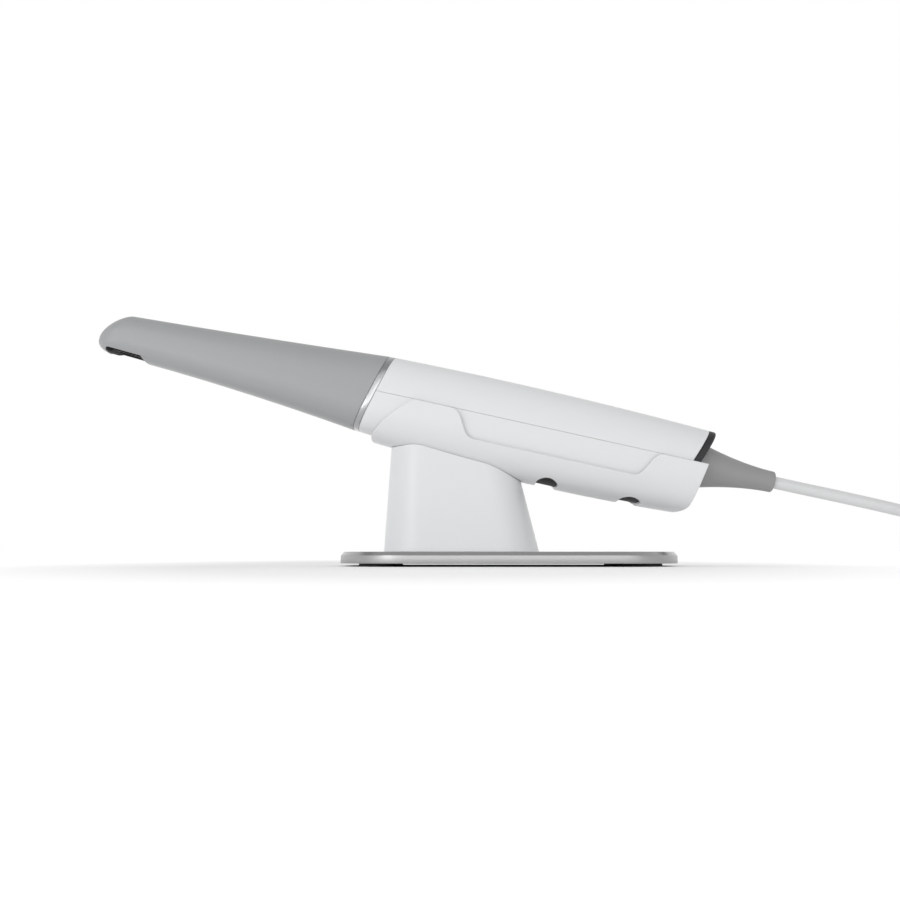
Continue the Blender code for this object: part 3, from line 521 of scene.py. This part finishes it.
def window_outline(gap=0.0):
    """The notch under the nose from the side: a sloped rear end and a rounded upper front corner."""
    front, back = -window_front + gap, -window_back - gap
    below = bezel_bottom - cut_past
    back_top, front_top = window_notch_back_height - gap, window_notch_front_height - gap
    corner = [(front + window_corner * (1 - math.cos(turn)), front_top - window_corner * (1 - math.sin(turn)))
              for turn in spread(math.pi / 2, 0, 6)]
    return [
        (front, below), (back - window_back_slope * (below - bezel_bottom), below),
        (back - window_back_slope * (back_top - bezel_bottom), back_top), *corner,
    ]


def bezel_outline():
    """The black frame from the side: thin under the window, with a lip at its front."""
    upper = window_outline(bezel_gap)[2:]
    back_x, back_z = upper[0]
    foot = back_x - window_back_slope * (bezel_bottom - back_z) - seat_gap
    front = -window_front + bezel_gap
    lip_end = front + bezel_lip_length
    return [(front, bezel_lip_bottom), (lip_end, bezel_lip_bottom),
            (lip_end + bezel_lip_ramp, bezel_bottom + bezel_front_rise), (foot, bezel_bottom), *upper]


def window_slab(overlap, low, high):
    """A level slab over the frame's opening, larger than it by an overlap all round."""
    front, back = -window_front + bezel_front_frame, -window_back - bezel_frame
    middle, half_length = (front + back) / 2, (back - front) / 2
    return skin([rounded_rectangle(half_length + overlap, opening_half_width + overlap, opening_corner, z,
                                   (middle, 0), 6) for z in (low, high)])


def across(outline, half_width):
    """A side outline of (x, z) points, run across the scanner."""
    return skin([[(x, side * half_width, z) for x, z in outline] for side in (1, -1)])


def tip():
    """The removable sleeve, its mirror, and its scan window: a thin black frame with glass above it."""
    past_sides = neck_half_width * 1.5
    sleeve = add_piece("tip_shell", skin(tip_skin(0, shell_edge) + tip_skin(tip_wall)[::-1]), tip_grey,
                       "tip")
    carve(sleeve, across(window_outline(), past_sides))
    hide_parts("tip_sleeve")
    bezel = add_piece("window_bezel", skin(tip_skin()), black_trim, "tip")
    carve(bezel, across(bezel_outline(), past_sides), "INTERSECT")
    carve(bezel, window_slab(0, bezel_bottom - cut_past, opening_top))
    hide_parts("scan_window_bezel")
    pane = add_piece("window_pane", window_slab(glass_overlap, glass_bottom, glass_top), clear_glass,
                     "tip")
    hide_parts("scan_window_glass")
    dress(mirror_silver, "tip_mirror")
    dress(clear_glass, "nose_window")


def trim_ring():
    rings = [handle_section(ring_front + along, ring_lean, inset)
             for along, inset in reversed(quarter_round(ring_edge, 3))]
    rings += [handle_section(ring_back - along, ring_lean, inset)
              for along, inset in quarter_round(ring_edge, 3)]
    rings += [handle_section(at, ring_lean, ring_wall) for at in (ring_back, ring_front)]
    ring = add_piece("trim_band", skin(rings, loop=True), ring_metal, "cradle", sharp=40)
    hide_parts("trim_ring")


def nose_tube():
    """The fixed nose that the tip slides over, open along its bore."""
    tip_gap = max(tip_wall + nose_clearance, ring_wall + seat_gap)
    tail_gap = handle_wall + seat_gap

    def run(wall):
        front = [tip_section(at, 0, tip_gap + wall)
                 for at in spread(-nose_tube_reach, -nose_tube_shoulder, 14)]
        front.append(tip_section(tip_back, ring_lean, tip_gap + wall))
        return front + [handle_section(at, lean, tail_gap + wall)
                        for at, lean in ((ring_back, ring_lean), (nose_tube_tail, 0))]

    tube = add_piece("nose_barrel", skin(run(0) + run(nose_tube_wall)[::-1], loop=True), anodised_black,
                     "cradle")
    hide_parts("nose_tube")


def shell_ring(at, lean, outer, height, upper, count=72):
    """A C-shaped wall section of the handle, above or below one height."""
    sides = []
    for inset in (outer, handle_wall):
        edge = height_angle(at, height, lean, inset)
        first, last = (edge, math.pi - edge) if upper else (math.pi - edge, math.tau + edge)
        sides.append(handle_section(at, lean, inset, spread(first, last, count)))
    return sides[0] + sides[1][::-1]


def handle_shells():
    """The two casing halves, met along one level line, with the button's opening in the upper one."""
    first, last = handle_front, cap_front - seat_gap
    stations = [(first + along, inset) for along, inset in reversed(quarter_round(shell_edge, 3))]
    stations += [(at, 0) for at in spread(first + shell_end_land, last - shell_end_land, 60)]
    stations += [(last - along, inset) for along, inset in quarter_round(shell_edge, 3)]
    shells = {}
    for name, node, upper in (("upper_shell", "handle_upper_shell", True),
                              ("lower_shell", "handle_lower_shell", False)):
        height = parting_height + (parting_gap / 2 if upper else -parting_gap / 2)
        rings = []
        for at, inset in stations:
            lean = ring_lean + (cap_lean - ring_lean) * (at - first) / (last - first)
            rings.append(shell_ring(at, lean, inset, height, upper))
        shells[name] = add_piece(name, skin(rings), white_shell, "cradle")
        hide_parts(node)
    hole = [obround(button_length / 2 + seat_gap, button_half_width + seat_gap, z, button_at)
            for z in (handle_back_height - cut_past, handle_back_height + cut_past)]
    carve(shells["upper_shell"], skin(hole))


def obround(half_length, half_width, z, centre=0.0, count=80):
    """A slot outline round (centre, 0) at one height, counter-clockwise seen from above."""
    points = []
    half = count // 2
    for end, first in ((1, -math.pi / 2), (-1, math.pi / 2)):
        for angle in spread(first, first + math.pi, half):
            x = centre + end * (half_length - half_width) + half_width * math.cos(angle)
            points.append((x, half_width * math.sin(angle), z))
    return points


def scan_button():
    """The button's cap with its finger dish, on a short stem."""
    top = crowned(button_at, handle_back_height, handle_back_drop, handle_back_crown_at) + button_proud
    under = top - button_cap_thickness
    half_length = button_length / 2
    rings = [obround(button_stem_radius * 1.01, button_stem_radius, z, button_at)
             for z in (under - button_stem_length, under)]
    rings.append(obround(half_length, button_half_width, under, button_at))
    rings += [obround(half_length - inset, button_half_width - inset, top - drop, button_at)
              for drop, inset in quarter_round(button_edge, 5)]
    rings += [obround(half_length - inset, button_half_width - inset, top - button_dish * dish, button_at)
              for inset, dish in button_dish_steps]
    cap = add_piece("button_cap", skin(rings), white_shell, "button")
    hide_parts("scan_button")


def rear_cap():
    """The dark end plate, with a round hole for the cable boot."""
    radius = boot_root_radius + seat_gap
    hole = [(radius * math.cos(turn), boot_centre_height + radius * math.sin(turn)) for turn in full_turn()]

    def hole_ring(at):
        return [(at + cap_lean * z, y, z) for y, z in hole]

    rings = [handle_section(cap_front + along, cap_lean, inset)
             for along, inset in reversed(quarter_round(cap_front_edge, 2))]
    rings += [handle_section(cap_back - along, cap_lean, inset)
              for along, inset in quarter_round(cap_edge, 6)]
    rings += [hole_ring(cap_back), hole_ring(cap_front)]
    cap = add_piece("end_cap", skin(rings, loop=True), dark_cap, "cradle")
    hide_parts("rear_cap")


def cable_boot():
    """The tapered grey boot, turned round the cable, with its flange held inside the cap."""
    flange_back = cap_front - cap_lean * (boot_flange_radius - boot_centre_height) - seat_gap
    root = cap_back + cap_lean * boot_root_radius
    shoulder = boot_root_radius - boot_shoulder_step
    profile = [(flange_back - boot_flange_thickness, boot_flange_radius), (flange_back, boot_flange_radius),
               (flange_back, boot_root_radius)]
    for share in spread(0, 1, 40):
        radius = boot_end_radius + (shoulder - boot_end_radius) * (1 - share) ** boot_flare
        profile.append((root + (boot_end - boot_end_round - root) * share, radius))
    profile += [(boot_end - along, boot_end_radius - inset)
                for along, inset in quarter_round(boot_end_round, 5)]
    profile += [(boot_end, boot_mouth_radius + boot_mouth_edge),
                (boot_end - boot_mouth_edge, boot_mouth_radius),
                (boot_end - boot_mouth_depth, boot_mouth_radius)]
    rings = [[(along, radius * math.cos(turn), boot_centre_height + radius * math.sin(turn))
              for turn in full_turn(80)] for along, radius in profile]
    boot = add_piece("cable_boot", skin(rings), boot_grey, "cradle", sharp=40)
    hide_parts("strain_relief")


def tray_rim_height(at):
    """The tray's upper edge: level with the parting line at both lugs and lower between them."""
    def passed(start):
        share = min(max((at - start) / tray_cutout_slope, 0), 1)
        gone, left = share ** tray_cutout_power, (1 - share) ** tray_cutout_power
        return gone / (gone + left)

    return tray_rim - tray_cutout_depth * (passed(tray_front_lug_end) - passed(tray_cutout_end))


def tray_front_edge(z):
    """The tray's front: it runs back and curves as it rises to the rim."""
    height = handle_back_height + tray_front_overlap
    rise = min(max((z - tray_rim) / height + 1, 0), 1)
    return tray_front + tray_front_slope * (1 - (1 - rise ** tray_front_power) ** (1 / tray_front_power))


def tray_rear_edge(z):
    """The tray's end: a straight lean from the rim down to a rounded lower corner."""
    round_x = tray_rear - tray_rear_lean * handle_belly_depth - tray_rear_round_setback
    round_z = -handle_belly_depth + tray_clearance + tray_rear_round_lift
    straight_x = round_x + tray_rear_round * math.cos(tray_rear_round_end)
    straight_z = round_z + tray_rear_round * math.sin(tray_rear_round_end)
    if z > straight_z:
        return straight_x + (tray_rear - straight_x) * (z - straight_z) / (tray_rim - straight_z)
    depth = min(max(round_z - z, 0), tray_rear_round)
    return round_x + math.sqrt(tray_rear_round ** 2 - depth ** 2)


def tray_point(along, around, inset, setback):
    """A point of the tray's skin: along runs front to rear and around from rim to rim, both 0 to 1."""
    at = tray_front + (tray_rear - tray_front) * along
    skin_inset = -tray_clearance - tray_wall + inset
    for _ in range(tray_settling_rounds):
        edge = height_angle(at, tray_rim_height(at) - setback, 0, skin_inset)
        angle = math.pi - edge + (math.pi + 2 * edge) * around
        _, y, z = handle_section(at, 0, skin_inset, [angle])[0]
        front, rear = tray_front_edge(z) + setback, tray_rear_edge(z) - setback
        at += (front + (rear - front) * along - at) * tray_settling_share
    return at, y, z


def tray():
    """The U-shaped cradle: an outer and an inner skin joined by one rounded lip all the way round."""
    dense_front, dense_rear = (0.1, 0.24), (0.735, 0.87)
    lengthwise = (spread(0, dense_front[0], 14)[:-1] + spread(*dense_front, 56)[:-1]
                  + spread(dense_front[1], dense_rear[0], 48)[:-1] + spread(*dense_rear, 56)[:-1]
                  + spread(dense_rear[1], 1, 20))
    crosswise = [(1 - math.cos(turn)) / 2 for turn in spread(0, math.pi, 76)]
    border = [(u, 0.0) for u in lengthwise] + [(1.0, v) for v in crosswise[1:]]
    border += [(u, 1.0) for u in reversed(lengthwise[:-1])] + [(0.0, v) for v in reversed(crosswise[1:-1])]
    points, faces = [], []
    count = len(crosswise)
    grid_size = len(lengthwise) * count
    for inset, outside in ((0, True), (tray_wall, False)):
        base = len(points)
        points += [tray_point(u, v, inset, tray_lip) for u in lengthwise for v in crosswise]
        for row in range(len(lengthwise) - 1):
            for k in range(count - 1):
                a = base + row * count + k
                quad = (a, a + 1, a + count + 1, a + count)
                faces.append(quad if outside else quad[::-1])
    spot = {(u, v): i * count + k for i, u in enumerate(lengthwise) for k, v in enumerate(crosswise)}
    lip = quarter_round(tray_lip, 4)[1:]
    rows = [[spot[place] for place in border]]
    for inset, setback in [(rounding, back) for back, rounding in lip] + [
            (tray_wall - rounding, back) for back, rounding in reversed(lip)]:
        rows.append(list(range(len(points), len(points) + len(border))))
        points += [tray_point(u, v, inset, setback) for u, v in border]
    rows.append([grid_size + spot[place] for place in border])
    for first, second in zip(rows, rows[1:]):
        for k in range(len(border)):
            after = (k + 1) % len(border)
            faces.append((first[k], first[after], second[after], second[k]))
    cradle = add_piece("tray", (points, faces), white_shell, "cradle", sharp=50)
    underside = -handle_belly_depth - tray_clearance - tray_wall
    for at, half_reach in slot_half_reach.items():
        rings = []
        for z in (underside - slot_below, underside + slot_above):
            outline = reversed(obround(half_reach, slot_width / 2, z, 0, 64))
            rings.append([(at + y, x, height) for x, y, height in outline])
        carve(cradle, skin(rings), sharp=50)
    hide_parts("cradle_tray")
    dress(black_rubber, "rest_pad_1", "rest_pad_2")


def pedestal():
    """The drafted stand, cut to the tray above it and hollowed for its screws from below."""
    bottom = plate_top + pedestal_foot_gap
    rings = []
    heights = [(bottom + rise, inset) for rise, inset in reversed(quarter_round(pedestal_foot_edge, 3))]
    heights += [(z, 0) for z in spread(bottom + 2 * MM, pedestal_height, 24)]
    for z, inset in heights:
        front_in, rear_in, side_in = [(z - bottom) * math.tan(math.radians(draft)) for draft in
                                      (pedestal_front_draft, pedestal_rear_draft, pedestal_side_draft)]
        front = pedestal_centre - pedestal_foot_length / 2 + front_in
        rear = pedestal_centre + pedestal_foot_length / 2 - rear_in
        half_width = pedestal_half_width - side_in
        middle, half_length = (front + rear) / 2, (rear - front) / 2
        rings.append([(x, y * (1 - pedestal_plan_taper * (x - middle) / half_length / 2), z)
                      for x, y, z in obround(half_length - inset, half_width - inset, z, middle, 120)])
    block = add_piece("stand", skin(rings), white_shell, "cradle", upright)
    bed = -tray_clearance - tray_wall - seat_gap
    past_ends = 20 * MM
    carve(block, skin([handle_section(at, 0, bed) for at in spread(-past_ends, tray_rear + past_ends, 48)]))
    half_length = pedestal_foot_length / 2 - pedestal_pocket_wall
    half_width = pedestal_half_width - pedestal_pocket_side_wall
    end_taper, side_taper = pedestal_pocket_taper
    pocket = [obround(half_length - end_taper * k, half_width - side_taper * k, z, pedestal_centre, 48)
              for k, z in enumerate((bottom - MM, bottom + pedestal_pocket_depth))]
    carve(block, skin(pocket), where=upright)
    for side in (-1, 1):
        bore_end = plate_bottom + screw_seat + screw_length + seat_gap
        carve(block, round_hole(pedestal_centre + side * screw_half_spacing, 0, screw_radius + seat_gap,
                                plate_bottom, bore_end), where=upright)
    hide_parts("pedestal")


def round_hole(x, y, radius, low, high):
    return skin([[(x + radius * math.cos(turn), y + radius * math.sin(turn), z) for turn in full_turn(48)]
                 for z in (low, high)])


def rounded_rectangle(half_length, half_width, corner, z, centre, arc=20):
    points = []
    for sign_x, sign_y, first in ((1, 1, 0), (-1, 1, 90), (-1, -1, 180), (1, -1, 270)):
        for turn in spread(math.radians(first), math.radians(first + 90), arc):
            points.append((centre[0] + sign_x * (half_length - corner) + corner * math.cos(turn),
                           centre[1] + sign_y * (half_width - corner) + corner * math.sin(turn), z))
    return points


def base_plate():
    """The metal plate with its chamfer, the seats of its feet and its stepped screw holes."""
    half_length, half_width, eased = plate_length / 2, plate_width / 2, plate_soft * 0.3
    profile = [(inset, plate_bottom + rise) for rise, inset in reversed(quarter_round(plate_soft, 3))]
    profile += [(0, plate_top - plate_chamfer - plate_soft), (eased, plate_top - plate_chamfer + eased),
                (plate_chamfer - eased, plate_top - eased), (plate_chamfer + plate_soft, plate_top)]
    rings = [rounded_rectangle(half_length - inset, half_width - inset, plate_corner - inset, z,
                               (plate_centre, 0)) for inset, z in profile]
    plate = add_piece("plate", skin(rings), plate_metal, "cradle", upright, 25)
    for sign_x, sign_y in ((-1, -1), (1, -1), (1, 1), (-1, 1)):
        carve(plate, round_hole(plate_centre + sign_x * (half_length - foot_inset_x),
                                sign_y * (half_width - foot_inset_y), foot_radius + seat_gap,
                                plate_bottom - MM, plate_bottom + foot_recess), where=upright, sharp=25)
    shoulder = plate_bottom + screw_seat + screw_head_height
    for side in (-1, 1):
        x = pedestal_centre + side * screw_half_spacing
        for radius, high in ((screw_head_radius, shoulder + seat_gap), (screw_radius, plate_top + MM)):
            step = round_hole(x, 0, radius + seat_gap, plate_bottom - MM, high)
            carve(plate, step, where=upright, sharp=25)
    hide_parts("base_plate")
    dress(black_rubber, "foot_1", "foot_2", "foot_3", "foot_4", edge=0.25 * MM)
    dress(screw_steel, "pedestal_screw_front", "pedestal_screw_rear", edge=0.2 * MM)


def inner_works():
    """Finishes for what the casing hides."""
    dress(anodised_black, "camera_left", "camera_right", "camera_lens_left", "camera_lens_right", "projector",
          "projector_lens")
    dress(machined_alloy, "optical_chassis", "heat_sink")
    dress(board_green, "main_circuit_board")
    dress(black_trim, "button_switch")


def smooth_run(points, spacing):
    """Points along one smooth curve through a route, about one spacing apart."""
    run = []
    padded = [2 * points[0] - points[1]] + points + [2 * points[-1] - points[-2]]
    for before, start, end, after in zip(padded, padded[1:], padded[2:], padded[3:]):
        steps = max(1, round((end - start).length / spacing))
        for k in range(steps):
            t = k / steps
            bend = 2 * before - 5 * start + 4 * end - after
            twist = 3 * start - before - 3 * end + after
            run.append(0.5 * (2 * start + (end - before) * t + bend * t ** 2 + twist * t ** 3))
    return run + [points[-1]]


def coil_turns():
    """Two flat layers: in along the top, down at the middle and out again along the floor."""
    run = []
    angle = math.pi / 2
    turn_step = math.tau / coil_steps_per_turn

    def lay(radius, z):
        run.append(coil_centre + Vector((radius * math.cos(angle), radius * math.sin(angle), z)))

    top_steps = coil_layer_turns * coil_steps_per_turn
    drop_steps = round(coil_drop_turns * coil_steps_per_turn)
    for k in range(top_steps):
        lay(coil_outer_turn + (coil_last_top_turn - coil_outer_turn) * k / top_steps, coil_top_height)
        angle -= turn_step
    for k in range(drop_steps):
        share = k / drop_steps
        inward = ease(min(share / coil_inward_share, 1))
        lay(coil_last_top_turn + (coil_inner_turn - coil_last_top_turn) * inward,
            coil_top_height + (coil_floor_height - coil_top_height) * share ** 2)
        angle -= turn_step
    for k in range(top_steps + 1):
        lay(coil_inner_turn + (coil_outer_turn - coil_inner_turn) * k / top_steps, coil_floor_height)
        angle -= turn_step
    for _ in range(coil_smoothings):
        heights = [point.z for point in run]
        for point, before, here, after in zip(run[1:-1], heights, heights[1:], heights[2:]):
            point.z = (before + 2 * here + after) / 4
    return run


def cable():
    """One cord from the boot's mouth to the plug, laid once over the desk and coiled."""
    mouth = boot_end - boot_mouth_depth + cable_in_mouth
    exit_point = on_scanner @ Vector((mouth, 0, boot_centre_height))
    straight = on_scanner @ Vector((boot_end + cable_straight, 0, boot_centre_height))
    coil = coil_turns()
    entry = [exit_point, straight] + [Vector(point) * MM for point in cable_route] + [coil[0]]
    tail = [coil[-1]] + [Vector(point) * MM for point in tail_route]
    points = (smooth_run(entry + [coil[1]], cable_spacing)[:-1] + coil[1:-1]
              + smooth_run([coil[-2]] + tail, cable_spacing)[1:])
    for _ in range(cable_smoothings):
        points[1:-1] = [(before + 2 * here + after) / 4 for before, here, after in
                        zip(points, points[1:], points[2:])]
    curve = bpy.data.curves.new("scanner_cable", "CURVE")
    curve.dimensions = "3D"
    curve.bevel_depth = cable_diameter / 2
    curve.bevel_resolution = 5
    curve.use_fill_caps = True
    curve.materials.append(cable_white)
    line = curve.splines.new("POLY")
    line.points.add(len(points) - 1)
    for spot, point in zip(line.points, points):
        spot.co = (*point, 1)
    line.use_smooth = True
    cord = bpy.data.objects.new("scanner_cable", curve)
    bpy.context.scene.collection.objects.link(cord)
    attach(cord, "cradle")
    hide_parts("cable", "cable_coil", "cable_tail")
    length = sum((after - before).length for before, after in zip(points, points[1:]))
    plug()


def plug():
    """The moulded plug on the cable's end: body with a ribbed neck, metal shell and its inner tongue."""
    x, y = plug_start
    middle = plug_half_height

    def section(at, half_width, half_height, corner, drop=0.0):
        outline = rounded_rectangle(half_width, half_height, corner, 0, (0, 0), 8)
        return [(at, y + across, middle + up - drop) for across, up, _ in outline]

    rings = []
    for k in range(plug_neck_ribs):
        rib = x + plug_neck_start + k * plug_rib_pitch
        for step, swell in ((0, 0), (0.2 * MM, plug_rib_height), (1 * MM, plug_rib_height), (1.2 * MM, 0)):
            radius = plug_neck_radius + swell + k * plug_neck_flare
            rings.append(section(rib + step, radius, radius, radius * 0.98))
    rings += [section(x + along, plug_half_width - inset, plug_half_height - inset, plug_corner)
              for along, inset in reversed(quarter_round(plug_front_edge, 4))]
    rings += [section(x + plug_length - along, plug_half_width - inset, plug_half_height - inset, plug_corner)
              for along, inset in quarter_round(plug_rear_edge, 4)]
    body = add_piece("plug_moulding", skin(rings), black_trim, "cradle", upright, 40)
    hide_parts("plug_body")
    start, end = x + plug_length + plug_shell_gap, x + plug_length + seat_gap + plug_shell_length
    outer = (plug_shell_half_width, plug_shell_half_height, plug_shell_corner)
    inner = (plug_shell_half_width - plug_shell_wall, plug_shell_half_height - plug_shell_wall,
             plug_shell_inner_corner)
    walls = [section(start, *outer), section(end, *outer), section(end, *inner), section(start, *inner)]
    shell = add_piece("plug_shell", skin(walls, loop=True), plug_metal, "cradle", upright)
    for side in (-1, 1):
        centre = (start + plug_window_at, y + side * plug_window_side)
        window = [rounded_rectangle(plug_window_half, plug_window_half, plug_window_corner, z, centre, 4)
                  for z in (middle, middle + cut_past)]
        carve(shell, skin(window), where=upright)
    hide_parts("plug_connector")
    tongue = [section(at, plug_shell_half_width - plug_tongue_side_gap, plug_tongue_half_thickness,
                      plug_tongue_corner, plug_tongue_drop) for at in (start, end - plug_tongue_setback)]
    insulator = add_piece("plug_tongue", skin(tongue), cable_white, "cradle", upright)
    return [body, shell, insulator]


def floor():
    """A wide white floor that takes the object's shadow near it, with painted light that lifts its seen
    colour more the farther it lies from the object, so its shading fades towards the edges.
    """
    reach = 40
    corners = [(-reach, -reach, 0), (reach, -reach, 0), (reach, reach, 0), (-reach, reach, 0)]
    mesh = bpy.data.meshes.new("floor")
    mesh.from_pydata(corners, [], [(0, 1, 2, 3)])
    material = bpy.data.materials.new("floor_white")
    material.use_nodes = True
    shading = Shading(material.node_tree)
    shading.tree.nodes.clear()
    light_path = shading.tree.nodes.new("ShaderNodeLightPath")
    seen = (Wire(light_path.outputs["Is Camera Ray"]) + Wire(light_path.outputs["Is Glossy Ray"])
            + Wire(light_path.outputs["Is Transmission Ray"]))
    # Painted light: for camera, glossy and transmission rays the floor's colour is raised more with distance
    # from the object, washing out its shade away from it.
    spot = shading.node("Mapping", Vector=shading.node("TexCoord", output=3), Scale=(1, 0.45, 1))
    away = shading.node("VectorMath", {"operation": "LENGTH"}, 1, _0=spot)
    painted_light_far_lift = shading.node("MapRange", Value=away, From_Min=0.1, From_Max=0.32, To_Min=0.16, To_Max=0.8)
    link_surface(shading, shading.node("BsdfDiffuse", Color=0.96 + seen * painted_light_far_lift))
    mesh.materials.append(material)
    ground = bpy.data.objects.new("floor", mesh)
    bpy.context.scene.collection.objects.link(ground)


def link_surface(shading, shader):
    end = shading.tree.nodes.new("ShaderNodeOutputMaterial")
    shading.tree.links.new(shader.socket, end.inputs["Surface"])


def world():
    """White to the eye, and a soft room of light: bright low down and at the back, darker overhead."""
    low_front, high_front, low_back_extra, high_back_extra = 0.64, 0.4, 0.45, 0.35
    room = bpy.data.worlds.new("room")
    bpy.context.scene.world = room
    room.use_nodes = True
    shading = Shading(room.node_tree)
    background = room.node_tree.nodes["Background"]
    direction = shading.node("TexCoord", output=0)
    parts = shading.node("SeparateXYZ", Vector=direction)
    separate = parts.socket.node
    up, back = Wire(separate.outputs[2]), Wire(separate.outputs[1])
    lift = shading.node("MapRange", Value=up, From_Min=0.0, From_Max=0.9, To_Min=0.0, To_Max=1.0)
    behind = shading.node("MapRange", Value=back, From_Min=-0.6, From_Max=0.6, To_Min=0.0, To_Max=1.0)
    level = (low_front - lift * (low_front - high_front)
             + behind * (low_back_extra - lift * (low_back_extra - high_back_extra)))
    light_path = shading.tree.nodes.new("ShaderNodeLightPath")
    camera_ray = Wire(light_path.outputs["Is Camera Ray"])
    shading.plug(background.inputs["Color"], (1, 1, 1, 1))
    shading.plug(background.inputs["Strength"], camera_ray + (1 - camera_ray) * level)


def softbox(name, place, aim, width, height, level):
    """A rectangular diffuse lamp whose face has the given brightness, where 1 is white."""
    lamp = bpy.data.lights.new(name, "AREA")
    lamp.shape = "RECTANGLE"
    lamp.size, lamp.size_y = width, height
    lamp.energy = level * math.pi * width * height
    box = bpy.data.objects.new(name, lamp)
    box.location = place
    box.rotation_euler = (Vector(aim) - Vector(place)).to_track_quat("-Z", "Y").to_euler()
    bpy.context.scene.collection.objects.link(box)


def camera():
    """A low camera near the desk, looking slightly up."""
    view = bpy.data.cameras.new("camera")
    view.lens = 44
    view.sensor_width = 36
    view.clip_start = 0.01
    eye = bpy.data.objects.new("camera", view)
    eye.location = (0.00645, -0.495, 0.00566)
    eye.rotation_euler = (math.radians(95.349), 0, 0)
    bpy.context.scene.collection.objects.link(eye)
    bpy.context.scene.camera = eye


camera()
tip()
trim_ring()
nose_tube()
handle_shells()
scan_button()
rear_cap()
cable_boot()
tray()
pedestal()
base_plate()
inner_works()
cable()
floor()
world()
softbox("low_softbox", place=(-0.15, -0.64, 0.1), aim=(-0.1, 0.0, 0.08), width=1.9, height=0.18, level=1.25)
softbox("front_softbox", place=(0.1, -1.3, 0.5), aim=(0.0, 0.0, 0.06), width=2.0, height=0.7, level=0.36)
softbox("left_softbox", place=(-0.82, -1.15, 0.45), aim=(0.0, 0.0, 0.06), width=0.38, height=0.9, level=2.5)
bpy.context.scene.view_settings.view_transform = "Standard"
